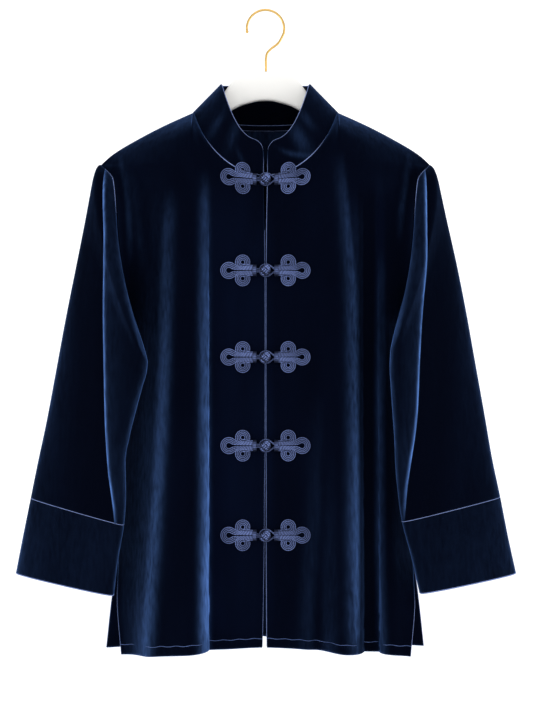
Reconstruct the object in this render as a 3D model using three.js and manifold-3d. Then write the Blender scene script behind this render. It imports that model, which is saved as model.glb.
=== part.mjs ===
// A velvet jacket with a stand collar and five frog fastenings, on its hanger.
//
// Units are millimetres. +Z is up and the front of the jacket faces -Y, so the
// wearer's right sleeve is on the -X side. The origin is the inside top of the
// hook, where it bears on a rail. Every cloth piece is a wall of even thickness
// around a middle surface, and neighbouring pieces keep a small gap at the seam.
import * as THREE from 'three';
import { mergeVertices } from 'three/addons/utils/BufferGeometryUtils.js';
import Module from 'manifold-3d';

// Driving dimensions.
const CLOTH = 2; // wall of a velvet panel
const COLLAR_WALL = 3; // the stand collar is two layers and a stiffener
const SEAM = 1.1; // from a panel's middle surface to the seam between two panels
const ARMHOLE_GAP = 2.6; // from the armhole edge to the middle of the sleeve head
const TOUCH_GAP = 0.3; // between pieces that lie on each other
const FROG_GAP = 0.7; // a stiff frog bridges the curve of the panel under it

const NECK_HALF = 97; // centre line to the side of the neck
const NECK_FRONT = 54; // how far the neck reaches forward and back of the shoulder line
const NECK_BACK = 40;
const NECK_PIT_Z = -228.5; // neck seam at the centre front
const NECK_SIDE_Z = -138.5; // neck seam at the shoulder line
const NECK_NAPE_Z = -148; // neck seam at the centre back
const FRONT_GAP = 3; // half the gap between the two fronts at the neck

const COLLAR_HALF = 59; // top edge of the collar
const COLLAR_FRONT = 50;
const COLLAR_BACK = 30;
const COLLAR_FRONT_Z = -182;
const COLLAR_SIDE_Z = -100;
const COLLAR_BACK_Z = -93;
const COLLAR_CORNER = { wide: 8, tall: 13 }; // rounded front corners
const COLLAR_LIFT = { centre: 1.5, side: 2.6 }; // collar wall clear of the panels' edge
const COLLAR_LEAN = 0.08; // backward slope of the collar's front behind the top frog

const SHOULDER_HALF = 222; // centre line to the shoulder point
const SHOULDER_Z = -209;
const UNDERARM_Z = -425;
const SLIT_Z = -735; // top of the side slits
const ARMHOLE_DEPTH = 34; // half the armhole's width, front to back
const ROLL = 95; // drop over which the cloth turns from the shoulder into the body

const TAPE = { half: 50, tall: 7, thick: 1, gap: 0.9 }; // tape inside the back neck
const FROG_HEIGHTS = [-233.7, -353, -467, -583.7, -701.7];
const KNOT_RADIUS = 6.6;
const HOOK_WIRE = 1.6; // radius of the wire
const HOOK_RADIUS = 25.2; // radius of the hook's bend, to the middle of the wire

// Shape tables. Each is read by a smooth curve through its rows.
const shoulderLine = [
  { out: 97, z: NECK_SIDE_Z },
  { out: 136, z: -156 },
  { out: 171, z: -174 },
  { out: 206, z: -195 },
  { out: 222, z: SHOULDER_Z },
];
const sideLine = [
  { z: SHOULDER_Z, half: 222 },
  { z: -231, half: 204 },
  { z: -260, half: 200 },
  { z: -300, half: 197 },
  { z: -334, half: 194 },
  { z: -365, half: 190.5 },
  { z: -400, half: 184 },
  { z: UNDERARM_Z, half: 178 },
  { z: -520, half: 183 },
  { z: -620, half: 190 },
  { z: SLIT_Z, half: 198 },
];
// Below the slit the front and the back hang apart.
const slitLine = [
  { z: SLIT_Z, front: 198, back: 198, frontDepth: 0, backDepth: 0 },
  { z: -785, front: 198, back: 207, frontDepth: 9, backDepth: 7 },
  { z: -863, front: 192, back: 216, frontDepth: 14, backDepth: 10 },
];
const bodyDepth = [
  { z: -140, front: 54, back: 40 },
  { z: -300, front: 50, back: 40 },
  { z: -500, front: 46, back: 39 },
  { z: -860, front: 44, back: 38 },
];
// Half the gap down the centre front.
const frontEdge = [
  { z: NECK_PIT_Z, right: FRONT_GAP, left: FRONT_GAP },
  { z: -300, right: 1.4, left: 1.6 },
  { z: -400, right: 0.9, left: 0.9 },
  { z: -560, right: 0.9, left: 0.9 },
  { z: -650, right: 1.6, left: 1.2 },
  { z: -720, right: 2, left: 1.2 },
  { z: -856, right: 4.2, left: 2 },
];
const hemLine = {
  front: { centre: -850, side: -863 },
  back: { centre: -854.6, side: -861 },
};

// Standing folds. Each stands forward of its panel from `near` to `far`, measured
// from the centre line at the chest, and leans outwards by `lean` at the hem.
// `rise` and `fall` are the widths of its two flanks.
const folds = {
  front_right: [
    { near: 76, rise: 14, far: 170, fall: 70, lean: 0, chest: 4.5, waist: 9, hem: 20 },
    { near: 76, rise: 14, far: 500, fall: 1, lean: 0, chest: 3, waist: 5, hem: 12 },
    { near: 122, rise: 22, far: 144, fall: 22, lean: 22, chest: 4, waist: 5, hem: 5 },
  ],
  front_left: [
    { near: 80, rise: 26, far: 122, fall: 16, lean: 2, chest: 7.5, waist: 14, hem: 30 },
    { near: 156, rise: 18, far: 500, fall: 1, lean: 3, chest: 6, waist: 14, hem: 26 },
  ],
  back: [
    { near: -170, rise: 40, far: -108, fall: 40, lean: 0, chest: 3, waist: 9, hem: 20 },
    { near: -48, rise: 36, far: 8, fall: 36, lean: 0, chest: 2, waist: 8, hem: 22 },
    { near: 70, rise: 40, far: 116, fall: 36, lean: 0, chest: 3, waist: 9, hem: 20 },
    { near: 160, rise: 24, far: 500, fall: 1, lean: 0, chest: 0, waist: 5, hem: 12 },
  ],
};
const FOLD_TOP_Z = -240;

// Sleeve stations from the armhole to the cuff's end. Each is a ring that hangs
// between the outer and the inner edge of the sleeve. `front` and `back` are how
// far it bulges, `bow` moves its middle outwards, and a crease runs down the front
// at the share `ridge` of the way from the outer to the inner edge.
const sleeveColumns = [
  'station', 'outer', 'outerZ', 'inner', 'innerZ', 'front', 'back', 'bow', 'ridge', 'crease',
];
const sleeveTable = (rows) => rows.map((row) =>
  Object.fromEntries(sleeveColumns.map((name, i) => [name, row[i]])));
const sleeves = {
  right: sleeveTable([
    [1, 231.5, -236, 156, -473.7, 27, 50, 10, 0.5, 4],
    [2, 242.3, -293, 157.3, -486.8, 24, 40, 4, 0.5, 10],
    [3, 253.1, -347, 162.6, -505.2, 24, 32, 0, 0.5, 13],
    [4, 266.6, -414.5, 170.5, -534.2, 23, 26, 0, 0.55, 13],
    [5, 280.1, -487.4, 179.7, -571, 22, 23, 0, 0.62, 12],
    [6, 292.3, -552.2, 187.6, -605.3, 21, 21, 0, 0.7, 10],
    [7, 304.4, -608.9, 186.2, -647.4, 20, 20, 0, 0.8, 6],
    [8, 313.9, -656.1, 186.9, -686.9, 20, 20, 0, 0.85, 3],
    [9, 324.7, -710, 194.8, -734.3, 21, 20, 0, 0.85, 0],
    [10, 333.5, -756, 200, -779, 22, 20, 0, 0.85, 0],
  ]),
  left: sleeveTable([
    [1, 231.5, -236, 165.2, -460.4, 27, 50, 9, 0.6, 3],
    [2, 242.3, -285, 164.5, -481.7, 24, 40, 4, 0.58, 6],
    [3, 254.5, -339, 165.8, -504, 24, 32, 0, 0.6, 9],
    [4, 268, -406.4, 167.8, -534.2, 23, 26, 0, 0.65, 9],
    [5, 280.1, -473.9, 170.4, -571, 22, 23, 0, 0.7, 9],
    [6, 292.3, -541.4, 171.7, -605, 21, 21, 0, 0.78, 7],
    [7, 303.1, -603.5, 175, -644.7, 20, 20, 0, 0.86, 5],
    [8, 313.9, -654.8, 180.3, -682.9, 20, 20, 0, 0.9, 2],
    [9, 324.7, -710, 192.8, -730.3, 21, 20, 0, 0.9, 0],
    [10, 334.8, -756, 203.3, -776.4, 22, 20, 0, 0.9, 0],
  ]),
};
const SLEEVE_END = 8; // station where the cuff is joined
const CUFF_TUCK = 0.2; // share of a station by which the cuff reaches up into the sleeve
const CUFF_INSET = 4.9; // the cuff is smaller all round, so that it lies inside the sleeve
const SLEEVE_OUTER_Y = -8; // the hanging sleeve turns its inner edge to the front
const SLEEVE_INNER_Y = -50;

// Hanger sections from the centre to the tip of an arm.
const hangerSections = [
  { out: 0, top: -82, bottom: -121, thick: 6, corner: 5 },
  { out: 34, top: -82, bottom: -128, thick: 6.5, corner: 5 },
  { out: 38, top: -86, bottom: -130, thick: 6.6, corner: 5 },
  { out: 54, top: -107.6, bottom: -139, thick: 7, corner: 4 },
  { out: 70, top: -129, bottom: -152, thick: 7.5, corner: 3 },
  { out: 97, top: -142.5, bottom: -173, thick: 8, corner: 2.6 },
  { out: 136, top: -160, bottom: -194, thick: 9, corner: 2.4 },
  { out: 171, top: -178, bottom: -211, thick: 10, corner: 2.2 },
  { out: 184, top: -186, bottom: -214, thick: 9, corner: 2 },
  { out: 192, top: -196, bottom: -210, thick: 5, corner: 2 },
];

const finishes = {
  velvet: { color: 0x0c1738, roughness: 0.85, metalness: 0 },
  braid: { color: 0x3a4880, roughness: 0.7, metalness: 0 },
  wood: { color: 0xebeae6, roughness: 0.45, metalness: 0 },
  brass: { color: 0xc2933c, roughness: 0.25, metalness: 1 },
};

// Number helpers.
const mix = (a, b, share) => a + (b - a) * share;
const clamp = (value) => Math.min(1, Math.max(0, value));
const ease = (value) => clamp(value) ** 2 * (3 - 2 * clamp(value));
const steps = (from, to, count) =>
  Array.from({ length: count + 1 }, (_, i) => mix(from, to, i / count));

// A smooth curve through one column of a table, with no overshoot between rows.
function curve(rows, key, column) {
  const sorted = [...rows].sort((a, b) => a[key] - b[key]);
  const at = sorted.map((row) => row[key]);
  const value = sorted.map((row) => row[column]);
  const last = at.length - 1;
  const secant = (i) => (value[i + 1] - value[i]) / (at[i + 1] - at[i]);
  const slope = at.map((_, i) => {
    if (i === 0) return secant(0);
    if (i === last) return secant(last - 1);
    const product = secant(i - 1) * secant(i);
    return product > 0 ? (2 * product) / (secant(i - 1) + secant(i)) : 0;
  });
  return (x) => {
    if (x <= at[0]) return value[0];
    if (x >= at[last]) return value[last];
    const i = at.findIndex((edge) => x < edge) - 1;
    const width = at[i + 1] - at[i];
    const t = (x - at[i]) / width;
    const lower = value[i] + (t * t * (3 - 2 * t)) * (value[i + 1] - value[i]);
    const leave = t * (1 - t) * (1 - t) * slope[i];
    const arrive = t * t * (t - 1) * slope[i + 1];
    return lower + width * (leave + arrive);
  };
}

// Mesh helpers.
function closedGeometry(points, faces) {
  const volume = faces.reduce((sum, [a, b, c]) => {
    const cross = new THREE.Vector3().crossVectors(points[b], points[c]);
    return sum + points[a].dot(cross);
  }, 0);
  const outward = volume > 0 ? faces : faces.map(([a, b, c]) => [a, c, b]);
  const geometry = new THREE.BufferGeometry();
  const flat = points.flatMap((point) => point.toArray());
  geometry.setAttribute('position', new THREE.Float32BufferAttribute(flat, 3));
  geometry.setIndex(outward.flat());
  return geometry;
}

function gridNormal(rows, i, j, ring) {
  const count = rows[0].length;
  const down = rows[Math.min(i + 1, rows.length - 1)][j];
  const up = rows[Math.max(i - 1, 0)][j];
  const right = rows[i][ring ? (j + 1) % count : Math.min(j + 1, count - 1)];
  const left = rows[i][ring ? (j + count - 1) % count : Math.max(j - 1, 0)];
  const along = down.clone().sub(up);
  return along.cross(right.clone().sub(left)).normalize();
}

// A wall of even thickness around a grid of middle points. The columns of a ring
// close on themselves, and every open edge gets a rim. `shift` moves the whole
// wall along its normals.
function wall(rows, thickness, { ring = false, shift = 0 } = {}) {
  const count = rows[0].length;
  const moved = (distance) => rows.map((row, i) => row.map((point, j) =>
    point.clone().addScaledVector(gridNormal(rows, i, j, ring), distance)));
  const points = [moved(shift + thickness / 2), moved(shift - thickness / 2)].flat(2);
  const face = (side, i, j) => side * rows.length * count + i * count + (j % count);
  const faces = [];
  const quad = (a, b, c, d) => faces.push([a, b, c], [a, c, d]);
  const lastRow = rows.length - 1;
  const lastColumn = ring ? count : count - 1;
  for (let i = 0; i < lastRow; i += 1) {
    for (let j = 0; j < lastColumn; j += 1) {
      quad(face(0, i, j), face(0, i, j + 1), face(0, i + 1, j + 1), face(0, i + 1, j));
      quad(face(1, i, j), face(1, i + 1, j), face(1, i + 1, j + 1), face(1, i, j + 1));
    }
  }
  for (let j = 0; j < lastColumn; j += 1) {
    quad(face(0, 0, j), face(1, 0, j), face(1, 0, j + 1), face(0, 0, j + 1));
    quad(face(0, lastRow, j), face(0, lastRow, j + 1), face(1, lastRow, j + 1), face(1, lastRow, j));
  }
  for (let i = 0; i < lastRow && !ring; i += 1) {
    const below = i + 1;
    quad(face(0, i, 0), face(0, below, 0), face(1, below, 0), face(1, i, 0));
    quad(face(0, i, lastColumn), face(1, i, lastColumn),
      face(1, below, lastColumn), face(0, below, lastColumn));
  }
  return closedGeometry(points, faces);
}

// A solid through closed rings of points, with a flat end on each side.
function loft(rings) {
  const count = rings[0].length;
  const points = rings.flat();
  const faces = [];
  for (let i = 0; i + 1 < rings.length; i += 1) {
    for (let j = 0; j < count; j += 1) {
      const a = i * count + j;
      const b = i * count + ((j + 1) % count);
      faces.push([a, b, b + count], [a, b + count, a + count]);
    }
  }
  const last = (rings.length - 1) * count;
  for (let j = 1; j + 1 < count; j += 1) {
    faces.push([0, j + 1, j], [last, last + j, last + j + 1]);
  }
  return closedGeometry(points, faces);
}

// Body panels.
const ridgeHeight = curve(shoulderLine, 'out', 'z');
const sideHalf = curve(sideLine, 'z', 'half');
const slitHalf = { front: curve(slitLine, 'z', 'front'), back: curve(slitLine, 'z', 'back') };
const slitDepth = { front: curve(slitLine, 'z', 'frontDepth'), back: curve(slitLine, 'z', 'backDepth') };
const depthAt = { front: curve(bodyDepth, 'z', 'front'), back: curve(bodyDepth, 'z', 'back') };
const edgeAt = { right: curve(frontEdge, 'z', 'right'), left: curve(frontEdge, 'z', 'left') };

// The neck seam, a quarter turn at a time: 0 is the centre and a quarter is the side.
function neckPoint(face, turn) {
  const across = Math.sin(turn);
  const forward = Math.max(0, Math.cos(turn)) ** 0.8;
  if (face === 'front') {
    const out = mix(FRONT_GAP, NECK_HALF, across);
    const share = out / NECK_HALF;
    const climb = 0.8 * share ** 2.1 + 0.2 * share ** 9;
    return { out, depth: NECK_FRONT * forward, z: mix(NECK_PIT_Z, NECK_SIDE_Z, climb) };
  }
  const climb = across ** 2.5;
  return { out: NECK_HALF * across, depth: NECK_BACK * forward, z: mix(NECK_NAPE_Z, NECK_SIDE_Z, climb) };
}

const NECK_COLUMNS = 7;
const SHOULDER_COLUMNS = 8;
function panelColumns(face) {
  const neck = steps(0, Math.PI / 2, NECK_COLUMNS).map((turn) => neckPoint(face, turn));
  const shoulder = steps(NECK_HALF, SHOULDER_HALF, SHOULDER_COLUMNS).slice(1)
    .map((out) => ({ out, depth: 0, z: ridgeHeight(out) }));
  return [...neck, ...shoulder];
}

// How far the armhole opens to the front and the back, from the shoulder point at
// share 0 to the underarm at share 1, where it closes to a point.
const armholeWidth = (share) => ARMHOLE_DEPTH * 2.38 * Math.sqrt(share) * (1 - share) ** 0.8;

// Half the panel's width, and how far its side edge stands from the side seam.
function sideEdge(face, z) {
  if (z > UNDERARM_Z) {
    const share = clamp((SHOULDER_Z - z) / (SHOULDER_Z - UNDERARM_Z));
    return { half: sideHalf(z), depth: armholeWidth(share) };
  }
  if (z > SLIT_Z) return { half: sideHalf(z), depth: 0 };
  return { half: slitHalf[face](z), depth: slitDepth[face](z) };
}

function foldDepth(panel, x, z, half) {
  const across = panel === 'back' ? x : Math.abs(x);
  const fallen = clamp((FOLD_TOP_Z - z) / (FOLD_TOP_Z - hemLine.front.side));
  const seam = clamp(1 + (z - SLIT_Z) / 60);
  const held = 1 - seam * clamp(Math.abs(x) / half) ** 8;
  return folds[panel].reduce((sum, fold) => {
    const shift = fold.lean * fallen;
    const up = ease((across - fold.near - shift) / fold.rise + 0.5);
    const down = 1 - ease((across - fold.far - shift) / fold.fall + 0.5);
    const upper = mix(fold.chest, fold.waist, ease((fallen - 0.1) / 0.25));
    const depth = ease(fallen / 0.1) * mix(upper, fold.hem, ease((fallen - 0.3) / 0.7));
    return sum + depth * up * down;
  }, 0) * held;
}

// `level` runs from 0 at the top edge to 1 at the underarm, 2 at the slit and 3 at the hem.
function panelHeight(face, column, share, level) {
  if (level <= 1) return mix(column.z, UNDERARM_Z, (1 - Math.cos(Math.PI * level)) / 2);
  if (level <= 2) return mix(UNDERARM_Z, SLIT_Z, level - 1);
  const hem = mix(hemLine[face].centre, hemLine[face].side, share ** 1.3);
  return mix(SLIT_Z, hem, level - 2);
}

function panelSurface(panel, side, column, z) {
  const face = panel === 'back' ? 'back' : 'front';
  const hand = side < 0 ? 'right' : 'left';
  const edge = sideEdge(face, z);
  const start = face === 'front' ? FRONT_GAP : 0;
  const centre = face === 'front' ? edgeAt[hand](z) : 0;
  const out = mix(centre, edge.half, (column.out - start) / (SHOULDER_HALF - start));
  const across = out / edge.half;
  const drop = clamp((column.z - z) / ROLL);
  const turn = Math.sqrt(1 - (1 - drop) ** 2);
  const full = mix(depthAt[face](z), edge.depth, across ** 3);
  const depth = mix(column.depth, full, turn) + SEAM + foldDepth(panel, side * out, z, edge.half);
  return new THREE.Vector3(side * out, face === 'front' ? -depth : depth, z);
}

const LEVELS = [...steps(0, 1, 9), ...steps(1, 2, 7).slice(1), ...steps(2, 3, 4).slice(1)];
function panelRows(panel, side) {
  const face = panel === 'back' ? 'back' : 'front';
  return LEVELS.map((level) => panelColumns(face).map((column) => {
    const z = panelHeight(face, column, column.out / SHOULDER_HALF, level);
    return panelSurface(panel, side, column, z);
  }));
}

const front = (panel, side) => wall(panelRows(panel, side), CLOTH);

function back() {
  const left = panelRows('back', 1);
  const rows = panelRows('back', -1).map((row, i) => [...row.reverse(), ...left[i].slice(1)]);
  return wall(rows, CLOTH);
}

// The front of a panel at a place given by x and z, for what is sewn on it.
function frontSurface(side, x, z) {
  const hand = side < 0 ? 'right' : 'left';
  const centre = edgeAt[hand](z);
  const share = (Math.abs(x) - centre) / (sideHalf(z) - centre);
  const out = mix(FRONT_GAP, SHOULDER_HALF, clamp(share));
  const turn = Math.asin(clamp((out - FRONT_GAP) / (NECK_HALF - FRONT_GAP)));
  const column = neckPoint('front', turn);
  const point = panelSurface(`front_${hand}`, side, column, Math.min(z, column.z));
  const lean = COLLAR_LEAN * Math.max(0, z - column.z);
  const collar = z > column.z ? (COLLAR_WALL - CLOTH) / 2 : 0;
  return point.y - CLOTH / 2 - collar + lean;
}

// Collar.
function collarRow(rise, turns) {
  return turns.map((turn) => {
    const side = Math.sign(turn) || 1;
    const round = Math.abs(turn);
    const isFront = round <= Math.PI / 2;
    const angle = isFront ? round : Math.PI - round;
    const seam = neckPoint(isFront ? 'front' : 'back', angle);
    const seamDepth = seam.depth + SEAM * Math.cos(angle);
    const across = Math.sin(angle);
    const forward = Math.max(0, Math.cos(angle)) ** 0.8;
    const start = isFront ? FRONT_GAP : 0;
    const out = mix(start, COLLAR_HALF, across);
    const corner = isFront ? clamp(1 - (out - FRONT_GAP) / COLLAR_CORNER.wide) : 0;
    const dip = COLLAR_CORNER.tall * (1 - Math.sqrt(1 - corner ** 2));
    const frontZ = mix(COLLAR_FRONT_Z, COLLAR_SIDE_Z, across ** 2.6) - dip;
    const backZ = mix(COLLAR_BACK_Z, COLLAR_SIDE_Z, across ** 2);
    const toward = isFront ? -1 : 1;
    const bottom = new THREE.Vector3(side * seam.out, toward * seamDepth, seam.z);
    const depth = (isFront ? COLLAR_FRONT + SEAM : COLLAR_BACK) * forward;
    const top = new THREE.Vector3(side * out, toward * depth, isFront ? frontZ : backZ);
    const lift = mix(COLLAR_LIFT.centre, COLLAR_LIFT.side, across ** 2);
    return bottom.lerp(top, mix(lift / bottom.distanceTo(top), 1, rise));
  });
}

function collar() {
  const degrees = [0, 4, 8, 14, 22, 32, 44, 56, 68, 80, 92, 104, 118, 132, 148, 164];
  const turns = degrees.map((degree) => THREE.MathUtils.degToRad(degree));
  const around = [...turns.slice(1).reverse().map((turn) => -turn)];
  const right = [...around, -1e-9].reverse();
  const rows = steps(0, 1, 4).map((rise) => {
    const rightRow = collarRow(rise, right);
    const leftRow = collarRow(rise, [...turns, Math.PI]);
    return [...rightRow, ...leftRow.reverse()];
  });
  return wall(rows, COLLAR_WALL);
}

function neckTape() {
  const outs = steps(-TAPE.half, TAPE.half, 10);
  const inward = CLOTH / 2 + TAPE.gap + TAPE.thick / 2;
  const rows = [1, 1 + TAPE.tall].map((below) => outs.map((x) => {
    const column = neckPoint('back', Math.asin(Math.abs(x) / NECK_HALF));
    return panelSurface('back', Math.sign(x) || 1, column, column.z - below);
  }));
  return wall(rows, TAPE.thick, { shift: inward });
}

// Sleeves and cuffs.
const sleeveCurves = {};
for (const hand of ['right', 'left']) {
  sleeveCurves[hand] = Object.fromEntries(
    sleeveColumns.slice(1).map((name) => [name, curve(sleeves[hand], 'station', name)]));
}

// Columns run round the sleeve from its outer edge, first down the front. The cloth
// at the underarm turns to the back as it falls, so the sleeve's inner edge meets
// an earlier column than the armhole's. The columns are further apart at the two
// edges, where the wall turns sharply.
const SLEEVE_COLUMNS = 28;
const INNER_COLUMN = { armhole: 14, sleeve: 10 };
const EDGE_SPREAD = 0.2;
function columnTurn(column, inner) {
  const beyond = (column - inner) / (SLEEVE_COLUMNS - inner);
  const turn = Math.PI * (column < inner ? column / inner : 1 + beyond);
  return turn + EDGE_SPREAD * Math.sin(2 * turn);
}

function armholePoint(turn) {
  const share = (1 - Math.cos(turn)) / 2;
  const z = mix(SHOULDER_Z, UNDERARM_Z, share);
  const depth = armholeWidth(share) + SEAM * Math.sqrt(Math.abs(Math.sin(turn)));
  return new THREE.Vector3(sideHalf(z) + ARMHOLE_GAP, -Math.sign(Math.sin(turn)) * depth, z);
}

function sleeveRingPoint(hand, station, turn, inset) {
  const row = (name) => sleeveCurves[hand][name](station);
  const share = (1 - Math.cos(turn)) / 2;
  const bulge = Math.sin(turn);
  const point = new THREE.Vector3(
    mix(row('outer') - inset, row('inner') + inset, share) + row('bow') * 4 * share * (1 - share),
    mix(SLEEVE_OUTER_Y, SLEEVE_INNER_Y, share),
    mix(row('outerZ'), row('innerZ'), share));
  if (bulge >= 0) {
    const ridge = row('ridge');
    const beyond = clamp((share - ridge) / (1 - ridge));
    const crease = row('crease') * ease((share - ridge) / 0.16 + 0.5) * (1 - beyond ** 3);
    point.y -= (row('front') - inset) * bulge + crease;
  } else {
    const back = (row('back') - inset) * (Math.sqrt(share) * (1 - share)) / 0.385;
    point.x += 0.29 * back;
    point.y += 0.96 * back;
  }
  return point;
}

// Between the armhole and the first station the sleeve follows a curve that
// leaves the armhole smoothly and arrives in line with the sleeve below.
function sleevePoint(side, station, column, inset) {
  const hand = side < 0 ? 'right' : 'left';
  const turn = columnTurn(column, INNER_COLUMN.sleeve);
  if (station >= 1) {
    const point = sleeveRingPoint(hand, station, turn, inset);
    return new THREE.Vector3(side * point.x, point.y, point.z);
  }
  const from = armholePoint(columnTurn(column, INNER_COLUMN.armhole));
  const to = sleeveRingPoint(hand, 1, turn, inset);
  const next = sleeveRingPoint(hand, 2, turn, inset);
  const knee = to.clone().addScaledVector(next.sub(to), -0.5);
  const point = new THREE.QuadraticBezierCurve3(from, knee, to).getPoint(station);
  point.x *= side;
  return point;
}

function sleeveRows(side, stations, inset) {
  const columns = [...Array(SLEEVE_COLUMNS).keys()];
  return stations.map((station) =>
    columns.map((column) => sleevePoint(side, station, column, inset)));
}

function sleeve(side) {
  const stations = [...steps(0, 1, 4), ...steps(1, SLEEVE_END, 7).slice(1)];
  return wall(sleeveRows(side, stations, 0), CLOTH, { ring: true });
}

function cuff(side) {
  const stations = [SLEEVE_END - CUFF_TUCK, ...steps(SLEEVE_END, SLEEVE_END + 2, 4)];
  return wall(sleeveRows(side, stations, CUFF_INSET), CLOTH, { ring: true });
}

// Frogs: three loops of flat braid, two bars and a wrapped end on each side.
const BRAID = { half: 4.2, high: 3, sides: 11 };
const frogLoops = [
  { out: 47.5, up: 0, radius: 8.3 },
  { out: 31.5, up: 11, radius: 6.6 },
  { out: 31.5, up: -11, radius: 6.6 },
];
const frogBars = [
  { from: 15, to: 43, rise: 7.5, half: 3.6 },
  { from: 15, to: 43, rise: -7.5, half: 3.6 },
  { from: 7.2, to: 15, rise: 0, half: 4 },
];
const FROG_WRAP = { from: 12, to: 17.5, half: 6.6, high: 5.2 };

const wasm = await Module();
wasm.setup();

function toManifold(geometry) {
  geometry.deleteAttribute('normal');
  geometry.deleteAttribute('uv');
  const merged = mergeVertices(geometry, 1e-4);
  const vertProperties = new Float32Array(merged.attributes.position.array);
  const triVerts = new Uint32Array(merged.index.array);
  return new wasm.Manifold(new wasm.Mesh({ numProp: 3, vertProperties, triVerts }));
}

function fromManifold(solid) {
  const { vertProperties, triVerts } = solid.getMesh();
  const geometry = new THREE.BufferGeometry();
  geometry.setAttribute('position', new THREE.BufferAttribute(new Float32Array(vertProperties), 3));
  geometry.setIndex(Array.from(triVerts));
  return geometry;
}

// Across a flat braid: its offset from the middle and its height over the cloth.
const braidSection = (half) => [
  { off: -half, high: 0 }, { off: half, high: 0 }, { off: 0.8 * half, high: 0.7 * BRAID.high },
  { off: 0, high: BRAID.high }, { off: -0.8 * half, high: 0.7 * BRAID.high },
];

// Frogs are made flat, with x outwards, y as height over the cloth and z up.
function braidLoop({ out, up, radius }) {
  const section = braidSection(BRAID.half);
  const profile = [...section, section[0]].map(({ off, high }) => new THREE.Vector2(radius + off, high));
  const ring = new THREE.LatheGeometry(profile, BRAID.sides);
  ring.translate(out, 0, up);
  return ring;
}

function braidBar({ from, to, rise, half }) {
  const lift = (x) => rise * clamp((x - from) / (to - from));
  const rings = [from, to].map((x) => braidSection(half).map(({ off, high }) =>
    new THREE.Vector3(x, high, lift(x) + off)));
  return loft(rings);
}

function frogHalf(side, height) {
  const wrap = new THREE.BoxGeometry(FROG_WRAP.to - FROG_WRAP.from, FROG_WRAP.high, 2 * FROG_WRAP.half);
  wrap.translate((FROG_WRAP.from + FROG_WRAP.to) / 2, FROG_WRAP.high / 2, 0);
  const pieces = [...frogLoops.map(braidLoop), ...frogBars.map(braidBar), wrap];
  const solid = pieces.map(toManifold).reduce((sum, piece) => sum.add(piece));
  const geometry = fromManifold(solid);
  const place = geometry.attributes.position;
  for (let i = 0; i < place.count; i += 1) {
    const x = side * place.getX(i);
    const z = height + place.getZ(i);
    place.setXYZ(i, x, frontSurface(side, x, z) - FROG_GAP - place.getY(i), z);
  }
  if (side > 0) {
    const index = Array.from(geometry.index.array);
    geometry.setIndex(index.map((_, i) => index[i - (i % 3) + [0, 2, 1][i % 3]]));
  }
  return geometry;
}

function knot(height) {
  const ball = new THREE.IcosahedronGeometry(KNOT_RADIUS, 1);
  const surface = Math.min(frontSurface(-1, -KNOT_RADIUS, height), frontSurface(1, KNOT_RADIUS, height));
  ball.translate(0, surface - TOUCH_GAP - KNOT_RADIUS, height);
  return ball;
}

// Hanger and hook.
function hanger() {
  const corners = steps(0, 2 * Math.PI, 12).slice(0, -1);
  const section = ({ out, top, bottom, thick, corner }, side) => corners.map((angle) => {
    const power = 2 / corner;
    const wide = Math.sign(Math.cos(angle)) * Math.abs(Math.cos(angle)) ** power;
    const tall = Math.sign(Math.sin(angle)) * Math.abs(Math.sin(angle)) ** power;
    return new THREE.Vector3(side * out, thick * wide, mix(bottom, top, 0.5 + tall / 2));
  });
  const arms = hangerSections.slice(1);
  return loft([
    ...[...arms].reverse().map((row) => section(row, -1)),
    section(hangerSections[0], 1),
    ...arms.map((row) => section(row, 1)),
  ]);
}

function hangerHook() {
  const middle = HOOK_WIRE - HOOK_RADIUS;
  const bend = steps(190, -18, 12).map((degree) => {
    const angle = THREE.MathUtils.degToRad(degree);
    return new THREE.Vector3(HOOK_RADIUS * Math.cos(angle), 0, middle + HOOK_RADIUS * Math.sin(angle));
  });
  const shank = [[17.5, -43], [8, -50.5], [2.2, -57], [0.6, -65], [0.6, -74], [0.6, -81.7]]
    .map(([x, z]) => new THREE.Vector3(x, 0, z));
  const path = new THREE.CatmullRomCurve3([...bend, ...shank]);
  const wire = new THREE.Shape().absarc(0, 0, HOOK_WIRE, 0, 2 * Math.PI);
  return new THREE.ExtrudeGeometry(wire, { steps: 32, extrudePath: path, curveSegments: 4 });
}

// The whole object.
const jacket = new THREE.Group();
function add(name, finish, geometry) {
  const mesh = new THREE.Mesh(geometry, new THREE.MeshStandardMaterial(finishes[finish]));
  mesh.name = name;
  jacket.add(mesh);
}

const hands = [{ name: 'right', side: -1 }, { name: 'left', side: 1 }];
for (const { name, side } of hands) {
  add(`front_${name}`, 'velvet', front(`front_${name}`, side));
  add(`sleeve_${name}`, 'velvet', sleeve(side));
  add(`cuff_${name}`, 'velvet', cuff(side));
  FROG_HEIGHTS.forEach((height, i) => add(`frog_${name}_${i + 1}`, 'braid', frogHalf(side, height)));
}
add('back', 'velvet', back());
add('collar', 'velvet', collar());
add('neck_tape', 'velvet', neckTape());
FROG_HEIGHTS.forEach((height, i) => add(`knot_${i + 1}`, 'braid', knot(height)));
add('hanger', 'wood', hanger());
add('hanger_hook', 'brass', hangerHook());

export default jacket;
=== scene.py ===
# %% [markdown]
# # A velvet jacket on its hanger
#
# The jacket is navy cotton velvet with a stand collar, five corded frog fastenings,
# deep cuffs and slits at the sides. A maker's model of it is already there as the
# frame: plain walls at their real size. This notebook dresses that frame, piece by
# piece, in cloth with real folds, corded braid, painted wood and brass.
#
# The tables below are in millimetres, as a tailor would write them, and every point
# is turned into metres as its mesh is made.

import bisect
import math

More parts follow.
